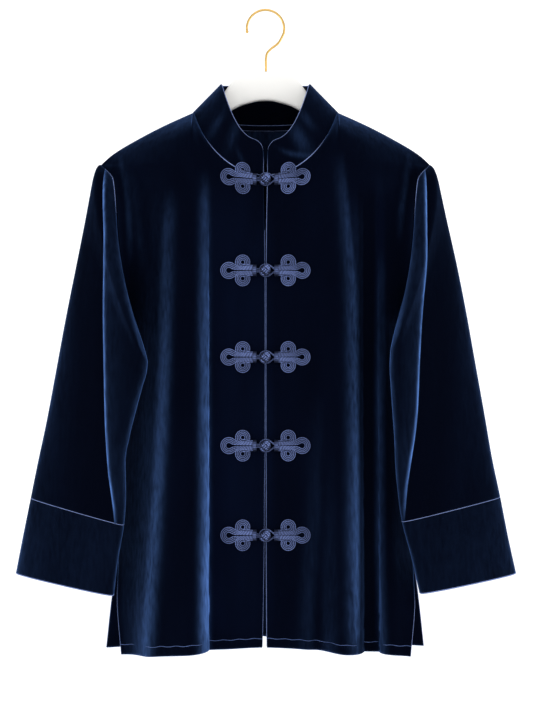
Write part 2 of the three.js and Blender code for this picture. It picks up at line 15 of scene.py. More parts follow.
import bmesh
import bpy
from mathutils import Euler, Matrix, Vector


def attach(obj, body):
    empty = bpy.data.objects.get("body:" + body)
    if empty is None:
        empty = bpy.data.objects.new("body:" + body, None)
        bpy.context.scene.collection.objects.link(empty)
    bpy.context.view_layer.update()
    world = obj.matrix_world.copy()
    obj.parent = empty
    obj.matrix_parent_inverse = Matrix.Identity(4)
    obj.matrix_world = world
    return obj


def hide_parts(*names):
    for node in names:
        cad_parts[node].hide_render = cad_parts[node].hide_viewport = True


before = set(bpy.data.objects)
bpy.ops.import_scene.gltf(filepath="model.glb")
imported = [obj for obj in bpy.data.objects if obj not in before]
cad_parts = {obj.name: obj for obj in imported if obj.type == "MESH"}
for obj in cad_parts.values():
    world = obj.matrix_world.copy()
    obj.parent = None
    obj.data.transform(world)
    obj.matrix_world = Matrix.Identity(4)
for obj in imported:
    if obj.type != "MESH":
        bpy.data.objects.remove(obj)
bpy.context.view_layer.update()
MM = 0.001
print("frame nodes:", len(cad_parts))

# %% [markdown]
# ## Camera
#
# The jacket is seen square from the front, from two metres away, as a catalogue
# shows it. A moderately long lens keeps the sleeves from looking wider than they
# are. The camera comes first, so that every later choice can be judged through it.

# %% Camera
CAMERA_DISTANCE = 2.0
CAMERA_CENTRE = (0.00135, -0.465)
LENS_MM = 75.0
FILM_MM = 36.0

camera_data = bpy.data.cameras.new("camera")
camera_data.sensor_fit = "VERTICAL"
camera_data.sensor_height = FILM_MM
camera_data.lens = LENS_MM
camera = bpy.data.objects.new("camera", camera_data)
camera.location = (CAMERA_CENTRE[0], -CAMERA_DISTANCE, CAMERA_CENTRE[1])
camera.rotation_euler = (math.radians(90), 0, 0)
scene = bpy.context.scene
scene.collection.objects.link(camera)
scene.camera = camera
scene.view_settings.view_transform = "Standard"
print("view height at the jacket:", round(CAMERA_DISTANCE * FILM_MM / LENS_MM, 3), "m")

# %% [markdown]
# ## Light and floor
#
# Velvet shows its colour only where light grazes the pile, so the light here is
# wide and soft: one tall panel at each side, a broad one above, and a white room
# around them. The floor and the wall behind are plain and pale.

# %% Light and floor
STAGE = {"floor": -1.35, "wall": 6.0, "half": 12.0}


def soft_light(name, place, turn_degrees, size, power):
    light = bpy.data.lights.new(name, "AREA")
    light.shape = "RECTANGLE"
    light.size, light.size_y = size
    light.energy = power
    lamp = bpy.data.objects.new(name, light)
    lamp.location = place
    lamp.rotation_euler = [math.radians(angle) for angle in turn_degrees]
    scene.collection.objects.link(lamp)


# Each light's place, turn in degrees, size and power in watts.
LIGHTS = {
    "light_left": ((-1.8, -0.6, -0.4), (90, 0, -75), (0.7, 1.8), 14),
    "light_right": ((1.8, -0.6, -0.4), (90, 0, 75), (0.7, 1.8), 14),
    "light_above": ((0, -0.9, 1.3), (35, 0, 0), (1.6, 0.5), 8),
}
ROOM_LIGHT = 0.85
for name, settings in LIGHTS.items():
    soft_light(name, *settings)

world = bpy.data.worlds.new("white_room")
world.use_nodes = True
world.node_tree.nodes["Background"].inputs["Color"].default_value = (1, 1, 1, 1)
world.node_tree.nodes["Background"].inputs["Strength"].default_value = ROOM_LIGHT
scene.world = world


def stage_plane(name, low, high):
    """A flat plane between two corners. Its faces look towards the jacket."""
    bm = bmesh.new()
    bmesh.ops.create_grid(bm, x_segments=1, y_segments=1, size=0.5)
    for vert in bm.verts:
        across, up = vert.co.x + 0.5, vert.co.y + 0.5
        depth = low[1] + (high[1] - low[1]) * up
        vert.co = (low[0] + (high[0] - low[0]) * across, depth, low[2] + (high[2] - low[2]) * up)
    mesh = bpy.data.meshes.new(name)
    bm.to_mesh(mesh)
    bm.free()
    plane = bpy.data.objects.new(name, mesh)
    scene.collection.objects.link(plane)
    return plane


floor = stage_plane(
    "floor",
    (-STAGE["half"], -STAGE["half"], STAGE["floor"]),
    (STAGE["half"], STAGE["wall"], STAGE["floor"]),
)
wall = stage_plane(
    "wall",
    (-STAGE["half"], STAGE["wall"], STAGE["floor"]),
    (STAGE["half"], STAGE["wall"], STAGE["half"]),
)

# %% [markdown]
# ## Shader maths in plain Python
#
# A finish is easier to read as an expression than as a row of nodes. `Value` wraps
# one node socket, and its operators add the Math nodes. `Finish` starts a material
# and adds any other node by type.


# %% Shader helpers
class Value:
    """One number inside a material, with the usual operators."""

    def __init__(self, finish, socket):
        self.finish, self.socket = finish, socket

    def _math(self, operation, *values):
        return self.finish.node("ShaderNodeMath", {"operation": operation}, *values)

    def __add__(self, other):
        return self._math("ADD", self, other)

    def __mul__(self, other):
        return self._math("MULTIPLY", self, other)

    def __sub__(self, other):
        return self._math("SUBTRACT", self, other)

    def __rsub__(self, other):
        return self._math("SUBTRACT", other, self)

    def __pow__(self, other):
        return self._math("POWER", self, other)

    __radd__ = __add__
    __rmul__ = __mul__


class Finish:
    """A material with one Principled shader."""

    def __init__(self, name, **settings):
        self.material = bpy.data.materials.new(name)
        self.material.use_nodes = True
        self.tree = self.material.node_tree
        self.shader = self.tree.nodes["Principled BSDF"]
        for socket, value in settings.items():
            self.shader.inputs[socket.replace("_", " ")].default_value = value

    def node(self, kind, settings, *values, **named):
        """A node of a type, its settings, then the values or links of its sockets."""
        made = self.tree.nodes.new(kind)
        output = settings.pop("output", 0)
        for key, value in settings.items():
            setattr(made, key, value)
        for socket, value in enumerate(values):
            if value is not None:
                self._set(made.inputs[socket], value)
        for socket, value in named.items():
            self._set(made.inputs[socket.replace("_", " ")], value)
        return Value(self, made.outputs[output])

    def _set(self, socket, value):
        if isinstance(value, Value):
            self.tree.links.new(value.socket, socket)
        else:
            socket.default_value = value

    def place(self, *scale):
        """Object coordinates, stretched by a scale along X, Y and Z."""
        where = self.node("ShaderNodeTexCoord", {"output": "Object"})
        return self.node("ShaderNodeVectorMath", {"operation": "MULTIPLY"}, where, scale)

    def own_map(self, *scale):
        """The piece's own map, which runs round and along it, stretched by a scale."""
        where = self.node("ShaderNodeTexCoord", {"output": "UV"})
        return self.node("ShaderNodeVectorMath", {"operation": "MULTIPLY"}, where, scale)

    def cloud(self, where, scale, detail=2.0):
        return self.node("ShaderNodeTexNoise", {}, where, Scale=scale, Detail=detail)

    def blend(self, factor, first, second):
        """A colour between two, at a factor. A Mix node keeps its colours in sockets 6 and 7."""
        settings = {"data_type": "RGBA", "output": 2}
        return self.node("ShaderNodeMix", settings, factor, *[None] * 5, first, second)

    def feed(self, **sockets):
        for socket, value in sockets.items():
            self._set(self.shader.inputs[socket.replace("_", " ")], value)

    def bump(self, height, distance, strength=1.0):
        relief = self.node(
            "ShaderNodeBump", {}, Strength=strength, Distance=distance, Height=height,
        )
        self.feed(Normal=relief)
        return relief

    def lay_over(self, factor, colour, relief):
        """Lays a matt colour over the shader, as far as the factor says."""
        matt = self.node("ShaderNodeBsdfDiffuse", {}, colour, 0.0, relief)
        base = Value(self, self.shader.outputs[0])
        both = self.node("ShaderNodeMixShader", {}, factor, base, matt)
        self.tree.links.new(both.socket, self.tree.nodes["Material Output"].inputs["Surface"])


# %% [markdown]
# ## Velvet
#
# Velvet is a standing pile. Seen from straight on, the light falls between the hairs
# and the cloth is nearly black; seen along the surface, the sides of the hairs catch
# the light. So the base is a very dark navy, the shader's own Sheen is blue, and a
# Layer Weight lays the lit colour of the hairs over it where the cloth turns away.
# Where the pile has been stroked it leans, so a bump of long soft streaks shifts the
# sheen a little from place to place, and a much finer one stands for the pile's ends.
# Two numbers kept at each point paint light and shade on the cloth. The first dims the
# base colour and the sheen: it is painted shade, kept low in the hollows, at the
# shoulders and above the hem. The second lays the lit colour of the hairs on whatever
# the view: a painted sheen, in bands along folds and creases and in patches.

# %% Velvet
NAVY_DEEP = (0.0005, 0.0011, 0.0040, 1)
NAVY_LIT = (0.0014, 0.0033, 0.0125, 1)
SHEEN_BLUE = (0.092, 0.20, 0.53, 1)
# How close together the marks in the pile are, along X, Y and Z.
STREAKS, BRUSH_MARKS, PILE_ENDS = (30, 30, 8), (260, 260, 60), 1500.0
# How far streaks and brush marks break up the lit colour, and what is taken off.
PATCH = {"streaks": 1.3, "brush": 2.0, "less": 0.7}
GRAZING = {"power": 2.3, "gain": 1.2}


def velvet():
    cloth = Finish(
        "velvet",
        Roughness=0.9, Specular_IOR_Level=0.01,
        Sheen_Weight=0.04, Sheen_Roughness=0.25, Sheen_Tint=(0.10, 0.24, 0.7, 1),
    )
    stroked = cloth.cloud(cloth.place(*STREAKS), 1.0, 4.0)
    pile = cloth.cloud(cloth.place(1, 1, 1), PILE_ENDS, 1.0)
    brushed = cloth.cloud(cloth.place(*BRUSH_MARKS), 1.0, 3.0)
    # Painted shade: the first number kept at each point darkens the base colour towards the deep
    # navy and dims the sheen.
    painted_light = cloth.node("ShaderNodeAttribute", {"attribute_name": "painted_light", "output": "Fac"})
    cloth.feed(Base_Color=cloth.blend(stroked * painted_light, NAVY_DEEP, NAVY_LIT))
    relief = cloth.bump(stroked + pile * 0.06, 0.004, 0.3)
    turned = cloth.node("ShaderNodeLayerWeight", {"output": "Facing"}, 0.5, relief)
    # Painted sheen: the second number lays the lit colour of the hairs on whatever the view.
    lean = cloth.node("ShaderNodeAttribute", {"attribute_name": "lean", "output": "Fac"})
    patchy = stroked * PATCH["streaks"] + brushed * PATCH["brush"] - PATCH["less"]
    shown = (turned ** GRAZING["power"] * painted_light * GRAZING["gain"] + lean) * patchy
    cloth.lay_over(shown, SHEEN_BLUE, relief)
    return cloth.material


def pale_line_finish(name, deep, pale):
    """A paler finish for fine lines on the velvet. On the rolled edges and seams its
    paleness is a painted highlight, standing for the sheen of the pile on the turn.
    """
    edge = Finish(
        name,
        Roughness=0.75, Specular_IOR_Level=0.2,
        Sheen_Weight=0.6, Sheen_Roughness=0.3, Sheen_Tint=(0.35, 0.5, 0.95, 1),
    )
    pale_share = edge.cloud(edge.place(1, 1, 1), 160.0, 2.0)
    edge.feed(Base_Color=edge.blend(pale_share, deep, pale))
    return edge.material


VELVET = velvet()
# The pale colour of the rolled edges and seams is a painted highlight.
VELVET_EDGE_HIGHLIGHT = pale_line_finish("velvet_edge_highlight", (0.07, 0.10, 0.24, 1), (0.24, 0.31, 0.58, 1))
HEM_THREAD = pale_line_finish("hem_thread", (0.015, 0.03, 0.09, 1), (0.09, 0.14, 0.32, 1))

# %% [markdown]
# ## Braid, paint and brass
#
# The frogs are sewn from twisted cord. Its twist is a stripe that runs round and
# along each cord, so it follows the cord's own map. Each cord's crown carries a painted
# highlight, and its sides and the grooves between cords are painted dark as shade; the
# twist and soft patches break up that painted light. The hanger is sprayed with a satin
# off-white, and the hook is polished wire.


# %% Braid, paint and brass
# Painted light on the cord: the shaded colour of its sides and grooves, the lit colour of its
# crown, and how the twist and soft patches share out that painted highlight.
BRAID_SHADED = (0.004, 0.006, 0.018, 1)
BRAID_LIT = (0.20, 0.275, 0.62, 1)
BRAID_LIGHT_SHARES = {"all over": 0.15, "twist": 0.7, "patches": 0.5}


def braid():
    cord = Finish("braid", Roughness=0.6, Specular_IOR_Level=0.12)
    twist = cord.node(
        "ShaderNodeTexWave", {"bands_direction": "DIAGONAL", "wave_profile": "SIN"},
        cord.own_map(1.0, 1.0, 0.0), Scale=1.0, Distortion=0.6, Detail=1.0,
    )
    shade = cord.cloud(cord.place(1, 1, 1), 240.0, 2.0)
    # Each cord carries a painted highlight on its crown and painted shade at its sides.
    crown = cord.node("ShaderNodeAttribute", {"attribute_name": "painted_light", "output": "Fac"})
    highlight_pattern = BRAID_LIGHT_SHARES["all over"] + twist * BRAID_LIGHT_SHARES["twist"] + shade * BRAID_LIGHT_SHARES["patches"]
    pale_share = crown * highlight_pattern
    cord.feed(Base_Color=cord.blend(pale_share, BRAID_SHADED, BRAID_LIT))
    cord.bump(twist, 0.0003, 0.8)
    return cord.material


def painted():
    paint = Finish("painted", Roughness=0.42, Specular_IOR_Level=0.45)
    drift = paint.cloud(paint.place(1, 1, 1), 9.0, 2.0)
    orange_peel = paint.cloud(paint.place(1, 1, 1), 420.0, 1.0)
    paint.feed(Base_Color=paint.blend(drift, (0.80, 0.79, 0.765, 1), (0.85, 0.845, 0.825, 1)))
    paint.feed(Roughness=0.36 + drift * 0.12)
    paint.bump(orange_peel, 0.0001, 0.4)
    return paint.material


def brass():
    metal = Finish("brass", Metallic=1.0, Roughness=0.2)
    drawn = metal.cloud(metal.place(1, 1, 1), 90.0, 3.0)
    metal.feed(Base_Color=metal.blend(drawn, (0.58, 0.36, 0.10, 1), (0.78, 0.53, 0.20, 1)))
    metal.feed(Roughness=0.14 + drawn * 0.14)
    return metal.material


BRAID = braid()
PAINTED = painted()
BRASS = brass()


def plain_white(name, shade):
    """A pale painted studio wall, lit from behind like a light table."""
    white = Finish(
        name, Roughness=0.95, Specular_IOR_Level=0.1,
        Emission_Color=(1, 1, 1, 1), Emission_Strength=0.3,
    )
    drift = white.cloud(white.place(1, 1, 1), 1.5, 2.0)
    white.feed(Base_Color=white.blend(drift, (shade, shade, shade, 1), (shade + 0.02,) * 3 + (1,)))
    return white.material


for sheet in (floor, wall):
    sheet.data.materials.append(plain_white(f"{sheet.name}_white", 0.9))

# %% [markdown]
# ## Curves from tables
#
# A pattern cutter gives a shape by a few measured heights and widths and joins them
# with a smooth line. `smooth` does that: it goes through each row of a table and
# never swings past it. `columns` reads a table with several named columns.


# %% Curve helpers
def mix(a, b, share):
    return a + (b - a) * share


def clamp(value, low=0.0, high=1.0):
    return min(high, max(low, value))


def ease(value):
    value = clamp(value)
    return value * value * (3 - 2 * value)


def rounded(value):
    """A step that leaves its foot steeply and rounds over at the top."""
    value = clamp(value)
    return math.sqrt(value * (2 - value))


def smooth(rows):
    """A function through (place, value) rows, with no overshoot between them."""
    rows = sorted(rows)
    at = [row[0] for row in rows]
    value = [row[1] for row in rows]
    rise = [(b - a) / (q - p) for a, b, p, q in zip(value, value[1:], at, at[1:])]
    inner = [2 * a * b / (a + b) if a * b > 0 else 0.0 for a, b in zip(rise, rise[1:])]
    slope = [rise[0], *inner, rise[-1]]

    def read(x):
        if x <= at[0]:
            return value[0]
        if x >= at[-1]:
            return value[-1]
        i = bisect.bisect_right(at, x) - 1
        width = at[i + 1] - at[i]
        t = (x - at[i]) / width
        level = value[i] + t * t * (3 - 2 * t) * (value[i + 1] - value[i])
        leave = t * (1 - t) * (1 - t) * slope[i]
        arrive = t * t * (t - 1) * slope[i + 1]
        return level + width * (leave + arrive)

    return read


def columns(names, rows):
    """Every named column of a table, as a smooth function of its first column."""
    return {
        name: smooth([(row[0], row[i + 1]) for row in rows])
        for i, name in enumerate(names.split()[1:])
    }


# %% [markdown]
# ## Cloth from a flat grid
#
# Cloth starts flat, so each panel starts as `create_grid` and every point of the
# grid is carried to its place on the jacket. Rings, such as sleeves, are closed by
# merging the two edges that meet. The map of a piece is that same flat grid, so a
# pattern can follow the cloth. Solidify then gives the wall, to both sides equally.


# %% Mesh helpers
def link_piece(name, bm, material, nodes):
    """A finished mesh as a piece of the jacket, smooth, riding on the frame."""
    mesh = bpy.data.meshes.new(name)
    bm.to_mesh(mesh)
    bm.free()
    mesh.shade_smooth()
    mesh.materials.append(material)
    piece = bpy.data.objects.new(name, mesh)
    scene.collection.objects.link(piece)
    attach(piece, "root")
    if nodes:
        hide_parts(*nodes)
    return piece


def point_layer(bm, name):
    return bm.verts.layers.float.get(name) or bm.verts.layers.float.new(name)


def grid(bm, across, along, place, ring=False, map_size=(1.0, 1.0), pile=None):
    """Adds a flat grid to bm and carries its points to place(u, v), in millimetres.
    `pile` gives the painted light and the painted sheen at a point; where it gives
    none, the point keeps its full painted light and no painted sheen."""
    for name in ("painted_light", "lean"):
        point_layer(bm, name)
    painted_light_layer, painted_sheen_layer = point_layer(bm, "painted_light"), point_layer(bm, "lean")
    made = bmesh.ops.create_grid(bm, x_segments=across, y_segments=along, size=0.5)["verts"]
    uv_layer = bm.loops.layers.uv.verify()
    for face in {face for vert in made for face in vert.link_faces}:
        for loop in face.loops:
            u, v = loop.vert.co.x + 0.5, loop.vert.co.y + 0.5
            loop[uv_layer].uv = (u * map_size[0], v * map_size[1])
    for vert in made:
        u, v = vert.co.x + 0.5, vert.co.y + 0.5
        point = Vector(place(u, v))
        vert[painted_light_layer], vert[painted_sheen_layer] = pile(point, u, v) if pile else (1.0, 0.0)
        vert.co = point * MM
    if ring:
        bmesh.ops.remove_doubles(bm, verts=made, dist=1e-6)


def close_out(bm):
    """Turns all faces of a closed surface outwards."""
    bmesh.ops.recalc_face_normals(bm, faces=bm.faces[:])


def thicken(piece, thickness):
    wall_maker = piece.modifiers.new("wall", "SOLIDIFY")
    wall_maker.thickness = thickness * MM
    wall_maker.offset = 0.0
    wall_maker.use_even_offset = False


CLOTH = 2.0


def cloth_piece(name, node, cells, place, map_size, pile=None, ring=False, wall=CLOTH):
    """A piece of velvet: a flat grid carried to its place, then given its wall."""
    bm = bmesh.new()
    grid(bm, *cells, place, ring, map_size, pile)
    if ring:
        close_out(bm)
    piece = link_piece(name, bm, VELVET, [node])
    thicken(piece, wall)
    print(name, len(piece.data.vertices), "points")
    return piece


# How fast the painted highlight on a cord's crown falls off to the painted shade at its
# sides. A wave texture repeats after TWIST_PERIOD of the map, and the strands come round
# once in TWIST_LENGTH millimetres.
CROWN_FALL = 10
TWIST_PERIOD = 2 * math.pi / 10
TWIST_LENGTH = 2.4


def tube(bm, path, radius, sides=8, pale_share=1.0):
    """Adds a tube along a path of points, closed at its ends. The last argument scales
    the painted highlight on the crown of the cord."""
    points = [Vector(point) for point in path]
    lengths = [0.0]
    for a, b in zip(points, points[1:]):
        lengths.append(lengths[-1] + (b - a).length)
    ways = []
    for i in range(len(points)):
        ahead, behind = points[min(i + 1, len(points) - 1)], points[max(i - 1, 0)]
        ways.append((ahead - behind).normalized())
    side = ways[0].orthogonal().normalized()
    sides_at = []
    for way in ways:
        side = (side - way * side.dot(way)).normalized()
        sides_at.append(side.copy())
    last = len(points) - 1

    def place(u, v):
        i = round(v * last)
        angle = 2 * math.pi * u
        across = sides_at[i] * math.cos(angle) + ways[i].cross(sides_at[i]) * math.sin(angle)
        return points[i] + across * radius

    def crown(point, u, v):
        """Painted highlight on the side of the cord that faces away from the cloth, painted shade
        beside it, and no painted sheen.
        """
        rise = (points[round(v * last)] - point).y / radius
        return pale_share * max(0.0, rise) ** CROWN_FALL, 0.0

    before = len(bm.verts)
    twist_map = (TWIST_PERIOD, TWIST_PERIOD * lengths[-1] / TWIST_LENGTH)
    grid(bm, sides, last, place, ring=True, map_size=twist_map, pile=crown)
    bm.verts.ensure_lookup_table()
    made = bm.verts[before:]
    rims = {edge for vert in made for edge in vert.link_edges if edge.is_boundary}
    bmesh.ops.holes_fill(bm, edges=list(rims), sides=0)


print("helpers ready")

# %% [markdown]
# ## The cut of the body
#
# The body is two fronts and one back. They hang from the shoulder seam, turn over
# into the front and the back, meet at the side seams and part again at the slits.
# These tables are the measured lines of that cut.

# %% Body tables
SEAM = 1.1
NECK = {
    "half": 97, "front": 54, "back": 40, "pit": -228.5, "side": -138.5, "nape": -148, "gap": 3,
    "round": 0.8, "reach": 170,
}
SHOULDER = {"half": 222, "z": -209, "fade": 6, "neck_depth": 6}
UNDERARM_Z = -425
SLIT_Z = -735
ROLL = 95
ARMHOLE = {"depth": 34, "gap": -0.6, "peak": 2.38}

ridge_height = smooth([(97, -138.5), (136, -156), (171, -174), (206, -195), (222, -209)])
side_half = smooth([
    (-209, 222), (-231, 204), (-260, 200), (-300, 197), (-334, 194), (-365, 190.5),
    (-400, 184), (-425, 178), (-520, 183), (-620, 190), (-735, 198),
])
slit = columns("z front back front_depth back_depth", [
    (-735, 198, 198, 0, 0), (-785, 198, 207, 9, 7), (-863, 192, 216, 14, 10),
])
body_depth = columns("z front back", [
    (-140, 54, 40), (-300, 50, 40), (-500, 46, 39), (-860, 44, 38),
])
front_edge = columns("z right left", [
    (-228.5, 3, 3), (-300, 1.4, 1.6), (-400, 0.9, 0.9), (-560, 0.9, 0.9),
    (-650, 1.6, 1.2), (-720, 2, 1.2), (-856, 4.2, 2),
])
HEM = {"front": (-850, -863), "back": (-854.6, -861)}
FOLD_TOP_Z = -240

# %% [markdown]
# ## Folds and creases
#
# Hung velvet falls in a few standing folds. Each starts as a shallow swell at the
# chest and stands well forward at the hem. A fold has two flanks, and a flank is
# either soft, or sharp at its foot where the cloth tucks under. Thinner creases run
# down from the shoulders, where the sleeve's weight pulls the cloth.

# %% Fold tables
# Each fold has its near flank's place, width and foot, the same of its far flank, how
# far it drifts outwards, and how deep it is at the chest, the waist and the hem.
FOLDS = {
    "front_right": [
        (90, 30, "sharp", 170, 70, "soft", 0, 5, 11, 24),
        (90, 30, "sharp", 500, 1, "soft", 0, 2.5, 4, 9),
        (122, 22, "soft", 144, 22, "soft", 22, 2, 3, 5),
    ],
    "front_left": [
        (84, 40, "soft", 116, 24, "sharp", 2, 7.5, 13, 28),
        (161, 24, "sharp", 500, 1, "soft", 3, 6, 13, 25),
    ],
    "back": [
        (-170, 40, "soft", -108, 40, "soft", 0, 3, 9, 20),
        (-48, 36, "soft", 8, 36, "soft", 0, 2, 8, 22),
        (70, 40, "soft", 116, 36, "soft", 0, 3, 9, 20),
        (160, 24, "soft", 500, 1, "soft", 0, 0, 5, 12),
    ],
}

# Each crease runs down a line of (z, x) points. Then come how high it stands above the
# cloth, within what it falls away towards the centre front and away from it, and how
# much painted sheen lies along it. Creases of no height are bands of painted sheen only.
CREASES = {
    "front_right": [
        ([(-200, 193), (-247, 185.7), (-288, 182.5), (-330, 181.5)], 3.2, 5, 3, 0.08),
        ([(-214, 182), (-256, 173), (-305, 168), (-345, 163)], 2.6, 8, 6, 0.03),
        ([(-255, 126), (-330, 131), (-440, 134), (-600, 141), (-760, 150), (-880, 158)],
         2.0, 9, 6, 0.14),
        ([(-600, 40), (-720, 44), (-880, 48)], 1.8, 16, 16, 0.0),
        ([(-235, 79), (-400, 79), (-880, 79)], 0, 5, 7, 0.22),
    ],
    "front_left": [
        ([(-200, 191), (-239, 187.5), (-273, 182.2), (-300, 180)], 3.6, 5, 3, 0.08),
        ([(-520, 70), (-640, 68), (-760, 60), (-880, 54)], 3.0, 12, 8, 0.02),
        ([(-330, 154), (-480, 152), (-700, 152), (-880, 157)], 2.0, 5, 5, 0.06),
        ([(-210, 101), (-290, 109), (-370, 116), (-430, 118), (-560, 119), (-850, 118)],
         0, 10, 3, 0.13),
    ],
    "back": [
        ([(-150, -190), (-230, -186), (-330, -176)], 3.0, 5, 8, 0.05),
        ([(-150, 190), (-230, 186), (-330, 178)], 2.8, 5, 8, 0.05),
        ([(-300, -60), (-520, -66), (-880, -74)], 2.4, 16, 10, 0.05),
        ([(-420, 40), (-640, 46), (-880, 52)], 2.6, 12, 18, 0.05),
    ],
}
FLANKS = {"soft": ease, "sharp": rounded}


def read_creases(table):
    """Each crease's line as a smooth function, its lowest and highest z, and its sizes."""
    ready = []
    for line, *sizes in table:
        heights = [z for z, _ in line]
        ready.append((smooth(line), min(heights), max(heights), *sizes))
    return ready


# A crease runs a little past its line and fades in and out over some length, and the
# painted sheen along it grows from its top down.
CREASE_PAST, CREASE_FADE = 20, 60
SHEEN_AT_TOP, SHEEN_GROWS = 0.25, 260
# Folds die out into the side seam, down to the slit, and they deepen from the chest on.
SEAM_HOLD = {"above_slit": 60, "folds": 8, "creases": 12}
GROWTH = {"start": 0.1, "to_waist": 0.25, "to_hem": 0.3}
creases = {panel: read_creases(table) for panel, table in CREASES.items()}


def crease_swell(panel, across, z):
    """How far the creases stand forward at a place, and how much painted sheen lies there."""
    swell = lean = 0.0
    for line, low, high, height, inner, outer, lit in creases[panel]:
        if low - CREASE_PAST < z < high + CREASE_PAST:
            fade = ease((high + CREASE_PAST - z) / CREASE_FADE)
            fade *= ease((z - low + CREASE_PAST) / CREASE_FADE)
            off = across - line(z)
            width = outer if off * (1 if across > 0 else -1) > 0 else inner
            share = fade * math.exp(-((off / width) ** 2))
            swell += height * share
            lean += lit * share * mix(SHEEN_AT_TOP, 1.0, ease((high - z) / SHEEN_GROWS))
    return swell, lean


def fold_depth(panel, x, z, half):
    """How far folds and creases bring the cloth forward of the plain panel."""
    across = x if panel == "back" else abs(x)
    fallen = clamp((FOLD_TOP_Z - z) / (FOLD_TOP_Z - HEM["front"][1]))
    seam = clamp(1 + (z - SLIT_Z) / SEAM_HOLD["above_slit"])
    outward = clamp(abs(x) / half)
    held = 1 - seam * outward ** SEAM_HOLD["folds"]
    total = 0.0
    for near, rise, near_foot, far, fall, far_foot, lean, chest, waist, hem in FOLDS[panel]:
        shift = lean * fallen
        up = FLANKS[near_foot]((across - near - shift) / rise + 0.5)
        down = FLANKS[far_foot](0.5 - (across - far - shift) / fall)
        upper = mix(chest, waist, ease((fallen - GROWTH["start"]) / GROWTH["to_waist"]))
        lower = ease((fallen - GROWTH["to_hem"]) / (1 - GROWTH["to_hem"]))
        total += ease(fallen / GROWTH["start"]) * mix(upper, hem, lower) * up * down
    swell = crease_swell(panel, across, z)[0]
    return total * held + swell * (1 - outward ** SEAM_HOLD["creases"])


# %% [markdown]
# ## From the cut to the hanging cloth
#
# A column of the pattern starts at the neck or at the shoulder seam. `hang` carries
# a point of that column to its place: it turns over the shoulder along a quarter
# circle, spreads to the side line and stands forward where a fold is. The seam's
# allowance and the folds fade out at the shoulder, so that front and back meet there.


# %% Body surface
def neck_point(face, turn):
    """The neck seam, from 0 at the centre to a quarter turn at the side of the neck."""
    across, forward = math.sin(turn), max(0.0, math.cos(turn)) ** NECK["round"]
    if face == "front":
        out = mix(NECK["gap"], NECK["half"], across)
        share = out / NECK["half"]
        climb = 0.8 * share**2.1 + 0.2 * share**9
        return out, NECK["front"] * forward, mix(NECK["pit"], NECK["side"], climb)
    z = mix(NECK["nape"], NECK["side"], across**2.5)
    return NECK["half"] * across, NECK["back"] * forward, z


NECK_SHARE = 7 / 15


def panel_column(face, u):
    """Where the column at share u starts: out, depth and height."""
    if u <= NECK_SHARE:
        return neck_point(face, u / NECK_SHARE * math.pi / 2)
    out = mix(NECK["half"], SHOULDER["half"], (u - NECK_SHARE) / (1 - NECK_SHARE))
    return out, 0.0, ridge_height(out)


def armhole_width(share):
    """An egg-shaped armhole, widest above its middle, where `peak` brings it to 1."""
    return ARMHOLE["depth"] * ARMHOLE["peak"] * math.sqrt(share) * (1 - share) ** 0.8


def side_edge(face, z):
    """Half the width of a panel, and how far its side stands from the side seam."""
    if z > UNDERARM_Z:
        share = clamp((SHOULDER["z"] - z) / (SHOULDER["z"] - UNDERARM_Z))
        return side_half(z), armhole_width(share)
    if z > SLIT_Z:
        return side_half(z), 0.0
    return slit[face](z), slit[f"{face}_depth"](z)


LEVELS = (0.42, 0.78)


def panel_height(face, top, share, v):
    """Heights down a column: first to the underarm, then to the slit, then to the hem."""
    if v <= LEVELS[0]:
        return mix(top, UNDERARM_Z, (1 - math.cos(math.pi * v / LEVELS[0])) / 2)
    if v <= LEVELS[1]:
        return mix(UNDERARM_Z, SLIT_Z, (v - LEVELS[0]) / (LEVELS[1] - LEVELS[0]))
    hem = mix(*HEM[face], share**1.3)
    return mix(SLIT_Z, hem, (v - LEVELS[1]) / (1 - LEVELS[1]))


def hang(panel, side, column, z):
    """A point of a panel's column at a height, in millimetres. The powers of `across`
    keep what they multiply close to the side, the more so the higher they are."""
    column_out, column_depth, top = column
    face = "back" if panel == "back" else "front"
    half, edge_depth = side_edge(face, z)
    start = NECK["gap"] if face == "front" else 0
    centre = front_edge["right" if side < 0 else "left"](z) if face == "front" else 0
    out = mix(centre, half, (column_out - start) / (SHOULDER["half"] - start))
    drop = clamp((top - z) / ROLL)
    turn = math.sqrt(1 - (1 - drop) ** 2)
    across = out / half
    full = body_depth[face](z) * (1 - across**3) + edge_depth * across**12
    eased = NECK[face] * (1 - ease(column_out / NECK["reach"]))
    start_depth = mix(column_depth, eased, ease(drop * 3) * (1 - across**7))
    at_neck = clamp(column_depth / SHOULDER["neck_depth"])
    off_seam = max(ease(drop * SHOULDER["fade"]), at_neck)
    stand = SEAM + fold_depth(panel, side * out, z, half)
    depth = mix(start_depth, full, turn) + stand * off_seam
    return side * out, -depth if face == "front" else depth, z


def front_place(side):
    panel = "front_right" if side < 0 else "front_left"

    def place(u, v):
        column = panel_column("front", u)
        share = column[0] / SHOULDER["half"]
        return hang(panel, side, column, panel_height("front", column[2], share, 1 - v))

    return place


def back_place(u, v):
    side = -1 if u < 0.5 else 1
    column = panel_column("back", abs(2 * u - 1))
    share = column[0] / SHOULDER["half"]
    return hang("back", side, column, panel_height("back", column[2], share, 1 - v))


